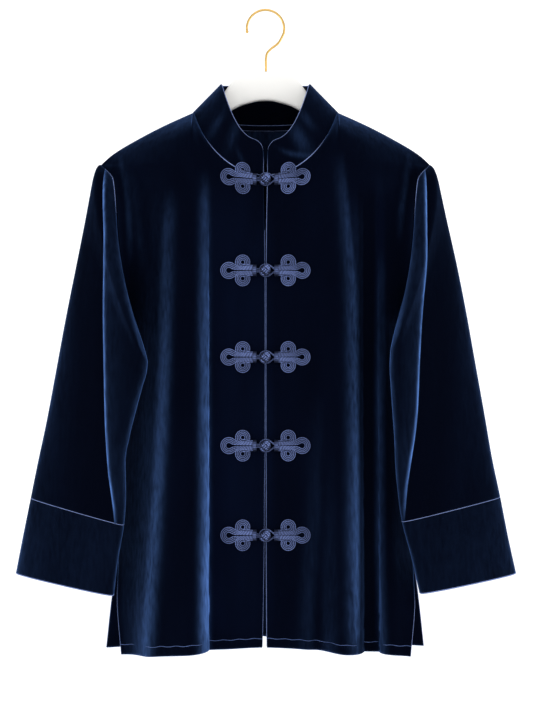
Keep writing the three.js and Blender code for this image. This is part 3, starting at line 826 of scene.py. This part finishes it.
# Painted shade on a panel: each box of heights and widths dims the base colour and the
# sheen there to its share of painted light. The shoulders and the band above the hem are
# dimmed as well, and a paler patch of painted sheen lies inside the back of the neck.
PAINTED_SHADE_BOXES = {
    "front_right": [
        {"z": (-430, -215), "x": (181, 205), "soft": 9, "painted_light": 0.06},
        {"z": (-900, -200), "x": (90, 230), "soft": 10, "painted_light": 0.36},
    ],
    "front_left": [
        {"z": (-430, -215), "x": (181, 205), "soft": 9, "painted_light": 0.06},
        {"z": (-900, -240), "x": (122, 146), "soft": 6, "painted_light": 0.1},
        {"z": (-900, -200), "x": (10, 104), "soft": 12, "painted_light": 0.42},
        {"z": (-900, -240), "x": (158, 230), "soft": 8, "painted_light": 0.3},
    ],
    "back": [],
}
SHOULDER_SHADE = {"painted_light": 0.25, "z": -330, "soft": 130}
HEM_SHADE = {"painted_light": 0.4, "z": -815, "soft": 40}
SHADE_BOX_ENDS = (60, 40)
NECK_SHEEN_PATCH = {"half": 60, "low": -205, "soft": 20, "lean": 0.06}


def between(value, ends, low_soft, high_soft):
    """1 between two ends and 0 outside them, with a soft step at each."""
    return ease((value - ends[0]) / low_soft + 0.5) * ease((ends[1] - value) / high_soft + 0.5)


def body_pile(panel):
    def pile(point, u, v):
        x, z = abs(point.x), point.z
        across = point.x if panel == "back" else x
        painted_light = mix(1.0, SHOULDER_SHADE["painted_light"], ease((z - SHOULDER_SHADE["z"]) / SHOULDER_SHADE["soft"]))
        painted_light *= mix(1.0, HEM_SHADE["painted_light"], ease((HEM_SHADE["z"] - z) / HEM_SHADE["soft"]))
        for shade_box in PAINTED_SHADE_BOXES[panel]:
            inside = between(x, shade_box["x"], shade_box["soft"], shade_box["soft"])
            inside *= between(z, shade_box["z"], *SHADE_BOX_ENDS)
            painted_light = mix(painted_light, shade_box["painted_light"], inside)
        # The lean here is painted sheen: bands along the creases, and a paler patch inside the back
        # neck.
        lean = crease_swell(panel, across, z)[1]
        if panel == "back":
            soft = NECK_SHEEN_PATCH["soft"]
            sheen_patch = ease((NECK_SHEEN_PATCH["half"] - x) / soft) * ease((z - NECK_SHEEN_PATCH["low"]) / soft)
            lean += NECK_SHEEN_PATCH["lean"] * sheen_patch
        return painted_light, lean

    return pile


HANDS = {"right": -1, "left": 1}
FRONT_CUT = (0.222, 0.72)
BACK_CUT = (0.444, 0.725)
for hand, side in HANDS.items():
    piece = cloth_piece(
        f"front_panel_{hand}", f"front_{hand}", (120, 190), front_place(side), FRONT_CUT,
        body_pile(f"front_{hand}"),
    )

back_panel = cloth_piece(
    "back_panel", "back", (190, 180), back_place, BACK_CUT, body_pile("back"),
)

# %% [markdown]
# ## Collar
#
# The stand collar is two layers of velvet over a stiffener, cut as one curved band.
# It rises from the neck seam and leans in towards the neck, and its front corners
# are rounded. One grid runs from the right front round the back to the left front.

# %% Collar
COLLAR = {
    "half": 59, "front": 50, "back": 30, "front_z": -182, "side_z": -100, "back_z": -93,
    "wall": 3.0,
}
CORNER = {"wide": 12, "tall": 17}
COLLAR_LIFT = 0.3


def collar_place(u, v):
    """A point of the collar, u round it from front to front and v up it."""
    turn = (2 * u - 1) * math.pi
    side = -1 if turn < 0 else 1
    turn = math.pi - abs(turn)
    is_front = turn <= math.pi / 2
    angle = turn if is_front else math.pi - turn
    out, depth, z = neck_point("front" if is_front else "back", angle)
    across, forward = math.sin(angle), max(0.0, math.cos(angle)) ** NECK["round"]
    start = NECK["gap"] if is_front else 0
    top_out = mix(start, COLLAR["half"], across)
    corner = clamp(1 - (top_out - start) / CORNER["wide"]) if is_front else 0.0
    dip = CORNER["tall"] * (1 - math.sqrt(1 - corner**2))
    toward = -1 if is_front else 1
    if is_front:
        top_z = mix(COLLAR["front_z"], COLLAR["side_z"], across**2.6) - dip
        top_depth = (COLLAR["front"] + SEAM) * forward
    else:
        top_z = mix(COLLAR["back_z"], COLLAR["side_z"], across**2)
        top_depth = COLLAR["back"] * forward
    bottom = Vector((side * out, toward * (depth + SEAM * math.cos(angle)), z))
    top = Vector((side * top_out, toward * top_depth, top_z))
    return bottom.lerp(top, mix(COLLAR_LIFT / (top - bottom).length, 1, v))


# Soft patches of painted sheen lie on the collar, each with its place on the band
# (round it and up it), its reach in both ways and how far it is lit. They run aslant,
# by the slant given below.
COLLAR_SHEEN_PATCHES = [
    (0.900, 0.60, 0.016, 0.45, 0.050), (0.925, 0.30, 0.030, 0.09, 0.055),
    (0.860, 0.75, 0.010, 0.30, 0.035), (0.100, 0.75, 0.012, 0.40, 0.030),
    (0.150, 0.50, 0.010, 0.35, 0.030), (0.055, 0.28, 0.020, 0.10, 0.020),
]
SHEEN_PATCH_SLANT = 10
# Painted shade: the collar's base colour and sheen are dimmed to this share.
COLLAR_SHADE = 0.25


# Painted shade all over the collar, and painted sheen in its patches.
def collar_pile(point, u, v):
    lean = 0
    for at_u, at_v, wide, tall, lit in COLLAR_SHEEN_PATCHES:
        across, along = u - at_u, v - at_v
        slanted = (along - across * SHEEN_PATCH_SLANT) / tall
        lean += lit * math.exp(-((across / wide) ** 2) - slanted**2)
    return COLLAR_SHADE, lean


piece = cloth_piece(
    "stand_collar", "collar", (220, 22), collar_place, (0.42, 0.055), collar_pile,
    wall=COLLAR["wall"],
)

# %% [markdown]
# ## Sleeves
#
# A sleeve is a tube that hangs from the armhole and grows wider down to the cuff.
# Its shape is a table of stations: where its outer and inner edges are, and how far
# it swells to the front and the back. A long crease runs down its front, where the
# inner half lies over the outer one, sharp at the foot.

# %% Sleeve tables
SLEEVE_COLUMNS = "station outer outer_z inner inner_z front back bow"
SLEEVES = {
    "right": columns(SLEEVE_COLUMNS, [
        (1, 231.5, -236, 156, -473.7, 27, 50, 10),
        (2, 242.3, -293, 157.3, -486.8, 24, 40, 4),
        (3, 253.1, -347, 162.6, -505.2, 24, 32, 0),
        (4, 266.6, -414.5, 170.5, -534.2, 23, 26, 0),
        (5, 280.1, -487.4, 179.7, -571, 22, 23, 0),
        (6, 292.3, -552.2, 185.4, -605.3, 21, 21, 0),
        (7, 304.4, -608.9, 184.6, -647.4, 20, 20, 0),
        (8, 313.9, -656.1, 186.9, -686.9, 20, 20, 0),
        (9, 324.7, -710, 194.8, -734.3, 21, 20, 0),
        (10, 333.5, -756, 200, -779, 22, 20, 0),
    ]),
    "left": columns(SLEEVE_COLUMNS, [
        (1, 231.5, -236, 165.2, -460.4, 27, 50, 9),
        (2, 242.3, -285, 164.5, -481.7, 24, 40, 4),
        (3, 254.5, -339, 165.8, -504, 24, 32, 0),
        (4, 268, -406.4, 167.8, -534.2, 23, 26, 0),
        (5, 280.1, -473.9, 170.4, -571, 22, 23, 0),
        (6, 292.3, -541.4, 171.7, -605, 21, 21, 0),
        (7, 303.1, -603.5, 175, -644.7, 20, 20, 0),
        (8, 313.9, -654.8, 180.3, -682.9, 20, 20, 0),
        (9, 324.7, -710, 192.8, -730.3, 21, 20, 0),
        (10, 334.8, -756, 203.3, -776.4, 22, 20, 0),
    ]),
}
SLEEVE_END, CUFF_END = 8, 10
SLEEVE_Y = (-8, -50)
INNER_EDGE = 10 / 28
FLATNESS = 0.42
# The back of a sleeve swells this way in X and Y, and BACK_PEAK brings it to 1.
BACK_WAY = (0.29, 0.96)
BACK_PEAK = 0.385

# The crease down the front of a sleeve: where it is at a height, how far the inner
# side stands forward of the outer side, and the width of its rounded flank.
SLEEVE_CREASE = {
    "right": columns("z at high", [
        (-202, 214.5, 0), (-240, 215.3, 5), (-317, 212, 11), (-395, 213, 12), (-472, 211.5, 12),
        (-549, 209.4, 11), (-611, 205.6, 8), (-672, 198, 3), (-700, 196, 0),
    ]),
    "left": columns("z at high", [
        (-205, 214, 0), (-240, 213.4, 5), (-277, 212.5, 8), (-327, 211.6, 11), (-354, 210.5, 11),
        (-400, 206, 11), (-467, 201.6, 10), (-539, 198.3, 8), (-653, 183.6, 3), (-690, 182, 0),
    ]),
}
CREASE_FLANK = 8
CREASE_SHARE = 0.2
# How much painted light a sleeve keeps, at its back, outside and further outside the
# crease, inside it and on the fold at the inner edge; low shares are painted shade.
# Then how much painted sheen lies on the crease, beside it, inside it and on that fold.
SLEEVE_PAINTED_LIGHT = {"back": 0.5, "outside": 0.10, "far_outside": 0.2, "inside": 0.2, "edge": 0.4}
SLEEVE_PAINTED_SHEEN = {"crease": 0.75, "beside": 0.02, "inside": 0.004, "edge": 0.16}
SLEEVE_WIDTHS = {"crease": 2.2, "beside": 18, "edge": 0.012, "full_crease": 6}
# Painted shade on the cuff, less of it towards the cuff's end, and a faint painted sheen.
CUFF_PAINTED_LIGHT = (0.25, 0.4)
CUFF_PAINTED_SHEEN = 0.010


# %% Sleeve surface
def armhole_point(turn):
    """A point round the armhole: from the shoulder down the front, and up the back."""
    share = (1 - math.cos(turn)) / 2
    z = mix(SHOULDER["z"], UNDERARM_Z, share)
    depth = armhole_width(share) + SEAM * math.sqrt(abs(math.sin(turn)))
    toward = -1 if math.sin(turn) > 0 else 1
    return Vector((side_half(z) + ARMHOLE["gap"], toward * depth, z))


def sleeve_ring(hand, station, turn):
    """A point round the sleeve at a station: from its outer edge over the front."""
    row = {name: line(station) for name, line in SLEEVES[hand].items()}
    share, bulge = (1 - math.cos(turn)) / 2, math.sin(turn)
    point = Vector((
        mix(row["outer"], row["inner"], share) + row["bow"] * 4 * share * (1 - share),
        mix(*SLEEVE_Y, share),
        mix(row["outer_z"], row["inner_z"], share),
    ))
    if bulge >= 0:
        point.y -= row["front"] * bulge**FLATNESS
    else:
        back = row["back"] * math.sqrt(share) * (1 - share) / BACK_PEAK
        point.x += BACK_WAY[0] * back
        point.y += BACK_WAY[1] * back
    return point


def sleeve_point(hand, station, u):
    """Between the armhole and station 1 the sleeve follows a curve that leaves the
    armhole smoothly and arrives in line with the sleeve below. The cloth at the
    underarm turns to the back as it falls, so the inner edge of the sleeve is met
    earlier round the ring than the underarm is."""
    inner = INNER_EDGE
    turn = math.pi * (u / inner if u < inner else 1 + (u - inner) / (1 - inner))
    if station >= 1:
        point = sleeve_ring(hand, station, turn)
    else:
        start, end = armhole_point(2 * math.pi * u), sleeve_ring(hand, 1, turn)
        knee = end - (sleeve_ring(hand, 2, turn) - end) * 0.5
        point = start.lerp(knee, station).lerp(knee.lerp(end, station), station)
    if turn < math.pi:
        line = SLEEVE_CREASE[hand]
        past = line["at"](point.z) - point.x
        near_edges = min(1, 1.6 * math.sin(turn))
        point.y -= line["high"](point.z) * rounded(past / CREASE_FLANK) * near_edges
    return Vector((HANDS[hand] * point.x, point.y, point.z))


def crease_turn(hand, station):
    """Where round the sleeve its crease lies at a station, found by halving."""
    low, high = 0.0, INNER_EDGE
    for _ in range(20):
        middle = (low + high) / 2
        point = sleeve_point(hand, station, middle)
        if abs(point.x) > SLEEVE_CREASE[hand]["at"](point.z):
            low = middle
        else:
            high = middle
    return high


def sleeve_pile(hand):
    """Painted shade outside the crease and on the back, less of it inside the crease,
    and painted sheen most of all on the crease itself and on the fold at the inner edge."""
    line = SLEEVE_CREASE[hand]

    def pile(point, u, v):
        past = line["at"](point.z) - abs(point.x)
        if u > INNER_EDGE * 1.1:
            return SLEEVE_PAINTED_LIGHT["back"], 0.0
        edge = math.exp(-(((u - INNER_EDGE) / SLEEVE_WIDTHS["edge"]) ** 2))
        outside = SLEEVE_PAINTED_LIGHT["outside"] + SLEEVE_PAINTED_LIGHT["far_outside"] * ease((-past - 30) / 40)
        inside = SLEEVE_PAINTED_LIGHT["inside"] + SLEEVE_PAINTED_LIGHT["edge"] * edge
        crease = math.exp(-((max(0.0, past) / SLEEVE_WIDTHS["crease"]) ** 2))
        beside = math.exp(-((past / SLEEVE_WIDTHS["beside"]) ** 2))
        lean = SLEEVE_PAINTED_SHEEN["crease"] * crease + SLEEVE_PAINTED_SHEEN["beside"] * beside
        lean *= ease(line["high"](point.z) / SLEEVE_WIDTHS["full_crease"])
        step = ease(past + 0.5)
        leans = step * (SLEEVE_PAINTED_SHEEN["inside"] + lean) + SLEEVE_PAINTED_SHEEN["edge"] * edge
        return mix(outside, inside, step), leans

    return pile


def sleeve_place(hand, first, last):
    """Columns of the grid follow the crease, and lie close together beside it and
    beside the inner edge, where the cloth turns most."""
    found = {}

    def place(u, v):
        station = mix(first, last, v)
        if v not in found:
            found[v] = crease_turn(hand, station)
        crease = found[v]
        if u < CREASE_SHARE:
            u = u / CREASE_SHARE * crease
        elif u < INNER_EDGE:
            share = (u - CREASE_SHARE) / (INNER_EDGE - CREASE_SHARE)
            share -= 0.13 * math.sin(2 * math.pi * share)
            u = mix(crease, INNER_EDGE, share)
        return sleeve_point(hand, station, u)

    return place


def cuff_place(hand):
    return lambda u, v: sleeve_point(hand, mix(SLEEVE_END, CUFF_END, v), u)


# Painted shade on the cuff and a faint painted sheen over it.
def cuff_pile(point, u, v):
    return mix(*CUFF_PAINTED_LIGHT, v), CUFF_PAINTED_SHEEN


for hand in HANDS:
    sleeve = cloth_piece(
        f"sleeve_cloth_{hand}", f"sleeve_{hand}", (196, 150),
        sleeve_place(hand, 0, SLEEVE_END), (0.4, 0.46), sleeve_pile(hand), ring=True,
    )
    cuff = cloth_piece(
        f"cuff_band_{hand}", f"cuff_{hand}", (120, 34), cuff_place(hand), (0.29, 0.11),
        cuff_pile, ring=True,
    )

# %% [markdown]
# ## Neck tape
#
# A narrow tape covers the seam inside the back of the neck. It is stitched flat on
# the back panel, so it copies the panel's curve a little further in.

# %% Neck tape
TAPE = {"half": 50, "tall": 7, "inward": 2.4, "thick": 1.0}


def tape_place(u, v):
    x = mix(-TAPE["half"], TAPE["half"], u)
    column = neck_point("back", math.asin(abs(x) / NECK["half"]))
    x, y, z = hang("back", -1 if x < 0 else 1, column, column[2] - 1 - TAPE["tall"] * (1 - v))
    return x, y - TAPE["inward"], z


piece = cloth_piece(
    "neck_tape_band", "neck_tape", (60, 6), tape_place, (0.1, 0.007), wall=TAPE["thick"],
)

# %% [markdown]
# ## Rolled edges and seams
#
# Every raw edge of the velvet is rolled and stitched, and a covered cord runs in the
# neck seam. Their pale colour is a painted highlight, standing for the sheen of the pile
# where it turns.
# Each is a fine tube that follows the edge of the surface it belongs to.


# %% Rolled edges
def front_line(side, u, top, bottom, count=90):
    panel = "front_right" if side < 0 else "front_left"
    column = panel_column("front", u)
    top = min(top, column[2])
    return [hang(panel, side, column, mix(top, bottom, i / count)) for i in range(count + 1)]


def back_line(side, top, bottom, count=30):
    column = panel_column("back", 1.0)
    return [hang("back", side, column, mix(top, bottom, i / count)) for i in range(count + 1)]


def neck_line(face, count=60):
    points = []
    for i in range(count + 1):
        turn = (2 * i / count - 1) * math.pi / 2
        out, depth, z = neck_point(face, abs(turn))
        toward = -1 if face == "front" else 1
        points.append((math.copysign(out, turn), toward * (depth + SEAM + 0.9), z + 0.6))
    return points


def hem_line(place, count=160):
    return [place(i / count, 0.0) for i in range(count + 1)]


STITCH_UP = 0.0225


def stitch_line(place, toward, count=160):
    """The line where the turned-up hem is stitched, on the face of the cloth."""
    points = [place(i / count, STITCH_UP) for i in range(count + 1)]
    return [(x, y + toward * 0.9 * CLOTH / 2, z + 0.5 * math.sin(x * 0.31)) for x, y, z in points]


def edge_piece(name, lines, radius, finish=VELVET_EDGE_HIGHLIGHT):
    bm = bmesh.new()
    for line in lines:
        tube(bm, line, radius, sides=7)
    piece = link_piece(name, bm, finish, [])
    print(name, len(piece.data.polygons), "faces")


ends = 40
collar_edge = [collar_place(0, v / ends) for v in range(ends)]
collar_edge += [collar_place(u / 200, 1) for u in range(200)]
collar_edge += [collar_place(1, 1 - v / ends) for v in range(ends + 1)]
edge_piece("collar_edge", [collar_edge], 0.65)

neck_front = neck_line("front")
middle = len(neck_front) // 2
edge_piece("neck_cord", [neck_front[:middle], neck_front[middle + 1:], neck_line("back")], 0.65)
edge_piece("tape_edges", [[tape_place(i / 60, v) for i in range(61)] for v in (0, 1)], 0.5)

edge_piece("front_edge_left", [front_line(1, 0.0, NECK["pit"], -849)], 0.6)
edge_piece("front_edge_right", [front_line(-1, 0.0, -300, -849)], 0.35)
edge_piece("hem_edges", [
    hem_line(front_place(-1)), hem_line(front_place(1)), hem_line(back_place, 240),
], 0.65)
edge_piece("hem_stitches", [
    stitch_line(front_place(-1), -1), stitch_line(front_place(1), -1),
    stitch_line(back_place, 1, 240),
], 0.4, HEM_THREAD)
edge_piece("slit_edges", [
    *(front_line(side, 1.0, SLIT_Z, HEM["front"][1], 30) for side in (-1, 1)),
    *(back_line(side, SLIT_Z, HEM["back"][1]) for side in (-1, 1)),
], 0.6)
for hand in HANDS:
    turns = [i / 120 for i in range(121)]
    edge_piece(f"sleeve_edges_{hand}", [
        [sleeve_point(hand, SLEEVE_END, u) for u in turns],
        [sleeve_point(hand, CUFF_END, u) for u in turns],
    ], 1.15)
    edge_piece(f"armhole_seam_{hand}", [[sleeve_point(hand, 0, u) for u in turns]], 0.9)

# %% [markdown]
# ## Frog fastenings
#
# A frog is one long cord laid in loops: two small loops above and below, a larger
# one at the end, and a wrap that binds them. Four cords lie side by side in every
# loop. The right half ends in a knotted ball and the left half in the loop that
# passes round it. A frog is drawn flat, as steps out from the centre line, steps up
# and height over the cloth, and `sewn_on` lays that drawing on the curved front.

# %% Frog drawing
FROG_HEIGHTS = (-233.7, -353, -467, -583.7, -701.7)
CORD = 0.9
CORD_LANES = (-3.2, -1.07, 1.07, 3.2)
END_LOOP = {"out": 48.2, "radius": 7.3}
SMALL_LOOP = {"out": 30.0, "up": 10.8, "radius": 6.2}
WRAP = {"from": 12.6, "step": 1.7, "count": 3, "half": 7.0, "high": 4.5}
# The knot's last size makes the painted highlight on its strands brighter than on the cords.
KNOT = {"radius": 5.7, "weave": 0.9, "strand": 1.25, "lane": 2.8, "high": 7.4,
        "core": 0.95, "pale_share": 1.8}
COLLAR_LEAN = 0.08
FIRST_TILT = 0.11


def front_face(side, x, z):
    """The y of the front's face at a place, for what is sewn on it."""
    hand = "right" if side < 0 else "left"
    centre, half = front_edge[hand](z), side_half(z)
    out = mix(NECK["gap"], SHOULDER["half"], clamp((abs(x) - centre) / (half - centre)))
    turn = math.asin(clamp((out - NECK["gap"]) / (NECK["half"] - NECK["gap"])))
    column = neck_point("front", turn)
    above = max(0.0, z - column[2])
    y = hang(f"front_{hand}", side, column, min(z, column[2]))[1]
    return y - CLOTH / 2 - min(0.5, above) + COLLAR_LEAN * above


def sewn_on(side, height):
    """Carries a drawn frog to the cloth. The first frog's halves rise with the neck."""
    tilt = FIRST_TILT if height == FROG_HEIGHTS[0] else 0.0

    def lay(out, up, high):
        x = side * out
        up = up + tilt * max(0.0, out - WRAP["from"])
        reach = side if out >= 0 else -side
        return Vector((x, front_face(reach, x, height + up) - high, height + up))

    return lay


def arc(out, up, radius, start, end, count):
    """Points of a circle, in degrees from one angle to another."""
    turns = [math.radians(mix(start, end, i / count)) for i in range(count + 1)]
    return [(out + radius * math.cos(turn), up + radius * math.sin(turn)) for turn in turns]


def bezier(a, b, c, d, count):
    """Points of a cubic curve, without the last one."""
    points = []
    for i in range(count):
        t, s = i / count, 1 - i / count
        shares = (s * s * s, 3 * s * s * t, 3 * s * t * t, t * t * t)
        points.append(tuple(sum(w * p[k] for w, p in zip(shares, (a, b, c, d))) for k in (0, 1)))
    return points


def small_loop(sign):
    """Out from the wrap, once round, and back under itself."""
    out, up, radius = SMALL_LOOP["out"], SMALL_LOOP["up"], SMALL_LOOP["radius"]
    lead = bezier((14, 4.4), (20, 4.9), (25, up - radius), (out, up - radius), 8)
    turn = arc(out, up, radius, -90, 222, 34)
    line = [(x, y, mix(1.6, 1.3, i / 8), mix(0.5, 1, ease(i / 8))) for i, (x, y) in enumerate(lead)]
    line += [(x, y, mix(1.3, 0.8, i / 34), 1.0) for i, (x, y) in enumerate(turn)]
    return [(x, sign * y, high, sign * spread) for x, y, high, spread in line]


def end_loop():
    """Out along the upper arm, round the end and back along the lower arm."""
    out, radius = END_LOOP["out"], END_LOOP["radius"]
    turn = arc(out, 0, radius, 130, -130, 34)
    first = turn[0]
    arm = bezier((13.5, 2.7), (26, 3.0), (first[0] - 6.4, first[1] - 3.4), first, 14)
    upper = [
        (x, y, mix(3.1, 1.4, ease(i / 14)), mix(0.55, 1, ease((i - 7) / 7)))
        for i, (x, y) in enumerate(arm)
    ]
    lower = [(x, -y, high - 0.4, spread) for x, y, high, spread in reversed(upper)]
    return upper + [(x, y, 1.2, 1.0) for x, y in turn] + lower


def bundle(bm, lay, line, lanes):
    """Lays cords side by side along a line of (out, up, high, spread) points."""
    last = len(line) - 1
    for lane in lanes:
        path = []
        for i, (out, up, high, spread) in enumerate(line):
            ahead, behind = line[min(i + 1, last)], line[max(i - 1, 0)]
            way = Vector((ahead[0] - behind[0], ahead[1] - behind[1])).normalized()
            path.append(lay(out - way.y * lane * spread, up + way.x * lane * spread, high))
        tube(bm, path, CORD, sides=7)


def wrap(bm, lay):
    for i in range(WRAP["count"]):
        out = WRAP["from"] + i * WRAP["step"]
        turns = [math.radians(-12 + 204 * k / 20) for k in range(21)]
        tube(bm, [
            lay(out, WRAP["half"] * math.cos(t), 0.8 + WRAP["high"] * math.sin(t)) for t in turns
        ], CORD, sides=6)


def knot_stem(bm, lay):
    """Three cords from the wrap of the right half to the ball."""
    for up in (-1.9, 0, 1.9):
        steps = [k / 6 for k in range(7)]
        tube(bm, [
            lay(mix(13, 4.5, t), up * mix(1.1, 0.9, t), mix(3, 5, t)) for t in steps
        ], CORD, sides=7)


def knot_loop(bm, lay):
    """The loop of the left half, which passes round the ball."""
    for lane in (0.0, 1.9):
        start, first = (13, 1.0 + lane), (9, 1.0 + lane)
        half = bezier(start, first, (8 - lane, 8.3 - lane), (0, 7.9 - lane), 12)
        far = arc(0, 0, 7.9 - lane, 90, 180, 8)
        line = half + far
        line += [(x, -y) for x, y in reversed(line[:-1])]
        tube(bm, [lay(x, y, 2.4 + 0.8 * clamp(x / 13)) for x, y in line], 0.95, sides=6)


print("loop points:", len(end_loop()), len(small_loop(1)))

# %% Frogs and knots
for i, height in enumerate(FROG_HEIGHTS, start=1):
    for hand, side in HANDS.items():
        bm = bmesh.new()
        lay = sewn_on(side, height)
        for sign in (1, -1):
            bundle(bm, lay, small_loop(sign), CORD_LANES)
        bundle(bm, lay, end_loop(), CORD_LANES)
        wrap(bm, lay)
        (knot_stem if hand == "right" else knot_loop)(bm, lay)
        close_out(bm)
        piece = link_piece(f"frog_cord_{hand}_{i}", bm, BRAID, [f"frog_{hand}_{i}"])
print("cords of one frog half:", len(piece.data.polygons), "faces")


def woven_ball(bm, centre):
    """A ball of three sets of strands. Each passes over one set and under the other."""
    tilt = Euler((math.radians(28), math.radians(40), 0)).to_matrix()
    for axis in range(3):
        up, first, second = (
            Vector([1.0 if k == (axis + n) % 3 else 0.0 for k in range(3)]) for n in range(3)
        )
        for lane in (-KNOT["lane"], 0.0, KNOT["lane"]):
            ring = math.sqrt(KNOT["radius"] ** 2 - lane**2)
            path = []
            for k in range(33):
                turn = 2 * math.pi * k / 32
                reach = ring + KNOT["weave"] * math.cos(2 * turn)
                around = first * math.cos(turn) + second * math.sin(turn)
                path.append(centre + tilt @ (up * lane + around * reach))
            tube(bm, path, KNOT["strand"], sides=7, pale_share=KNOT["pale_share"])


for i, height in enumerate(FROG_HEIGHTS, start=1):
    bm = bmesh.new()
    centre = Vector((0, front_face(-1, -3, height) - KNOT["high"], height))
    woven_ball(bm, centre)
    core_radius = KNOT["radius"] * KNOT["core"] * MM
    core = bmesh.ops.create_icosphere(bm, subdivisions=2, radius=core_radius)["verts"]
    bmesh.ops.translate(bm, verts=core, vec=centre * MM)
    close_out(bm)
    piece = link_piece(f"knot_ball_{i}", bm, BRAID, [f"knot_{i}"])
print("one knot:", len(piece.data.polygons), "faces")

# %% [markdown]
# ## Hanger and hook
#
# The hanger is one moulded arm with a raised middle, widest where it carries the
# shoulders. Its table gives the top, the bottom and the thickness from the centre
# to the tip. The hook is bent from polished wire and set in the middle.

# %% Hanger and hook
hanger_shape = columns("out top bottom thick corner", [
    (0, -82, -121, 6, 5), (8, -82, -121.4, 6, 5), (20, -82, -123.9, 6.3, 5),
    (34, -82, -128, 6.5, 5), (38, -86, -130, 6.6, 5), (54, -107.6, -139, 7, 4),
    (70, -129, -152, 7.5, 3), (97, -142.5, -173, 8, 2.6), (136, -160, -194, 9, 2.4),
    (171, -178, -211, 10, 2.2), (184, -186, -214, 9, 2), (192, -196, -210, 5, 2),
])
HANGER_HALF = 192
HOOK = {"wire": 1.6, "radius": 25.2, "tip": 2.0}


def squared(value, corner):
    """Turns a circle's sine or cosine into that of a rounded box."""
    return math.copysign(abs(value) ** (2 / corner), value)


def hanger_place(u, v):
    x = (2 * v - 1) * HANGER_HALF
    row = {name: line(abs(x)) for name, line in hanger_shape.items()}
    turn = 2 * math.pi * u
    deep = row["thick"] * squared(math.cos(turn), row["corner"])
    return x, deep, mix(row["bottom"], row["top"], 0.5 + squared(math.sin(turn), row["corner"]) / 2)


bm = bmesh.new()
grid(bm, 48, 192, hanger_place, ring=True)
bmesh.ops.holes_fill(bm, edges=[edge for edge in bm.edges if edge.is_boundary], sides=0)
close_out(bm)
link_piece("hanger_body", bm, PAINTED, ["hanger"])


def flowing(points, each=8):
    """A smooth line through points, by Catmull and Rom's rule."""
    points = [Vector(point) for point in points]
    line = []
    for i in range(len(points) - 1):
        a, b, c = points[max(i - 1, 0)], points[i], points[i + 1]
        d = points[min(i + 2, len(points) - 1)]
        bend_1, bend_2 = 2 * a - 5 * b + 4 * c - d, 3 * b - a - 3 * c + d
        for k in range(each):
            t = k / each
            line.append(0.5 * (2 * b + (c - a) * t + bend_1 * t**2 + bend_2 * t**3))
    return [*line, points[-1]]


hook_z = HOOK["wire"] - HOOK["radius"]
bend = [(x, 0, hook_z + z) for x, z in arc(0, 0, HOOK["radius"], 190, -18, 24)]
shank = [(x, 0, z) for x, z in (
    (17.5, -43), (8, -50.5), (2.2, -57), (0.6, -65), (0.6, -74), (0.6, -81.7),
)]
bm = bmesh.new()
tube(bm, flowing(bend + shank, 5), HOOK["wire"], sides=16)
tip = bmesh.ops.create_uvsphere(bm, u_segments=16, v_segments=10, radius=HOOK["tip"] * MM)["verts"]
bmesh.ops.translate(bm, verts=tip, vec=Vector(bend[0]) * MM)
close_out(bm)
link_piece("hook_wire", bm, BRASS, ["hanger_hook"])
print("hanger and hook made")
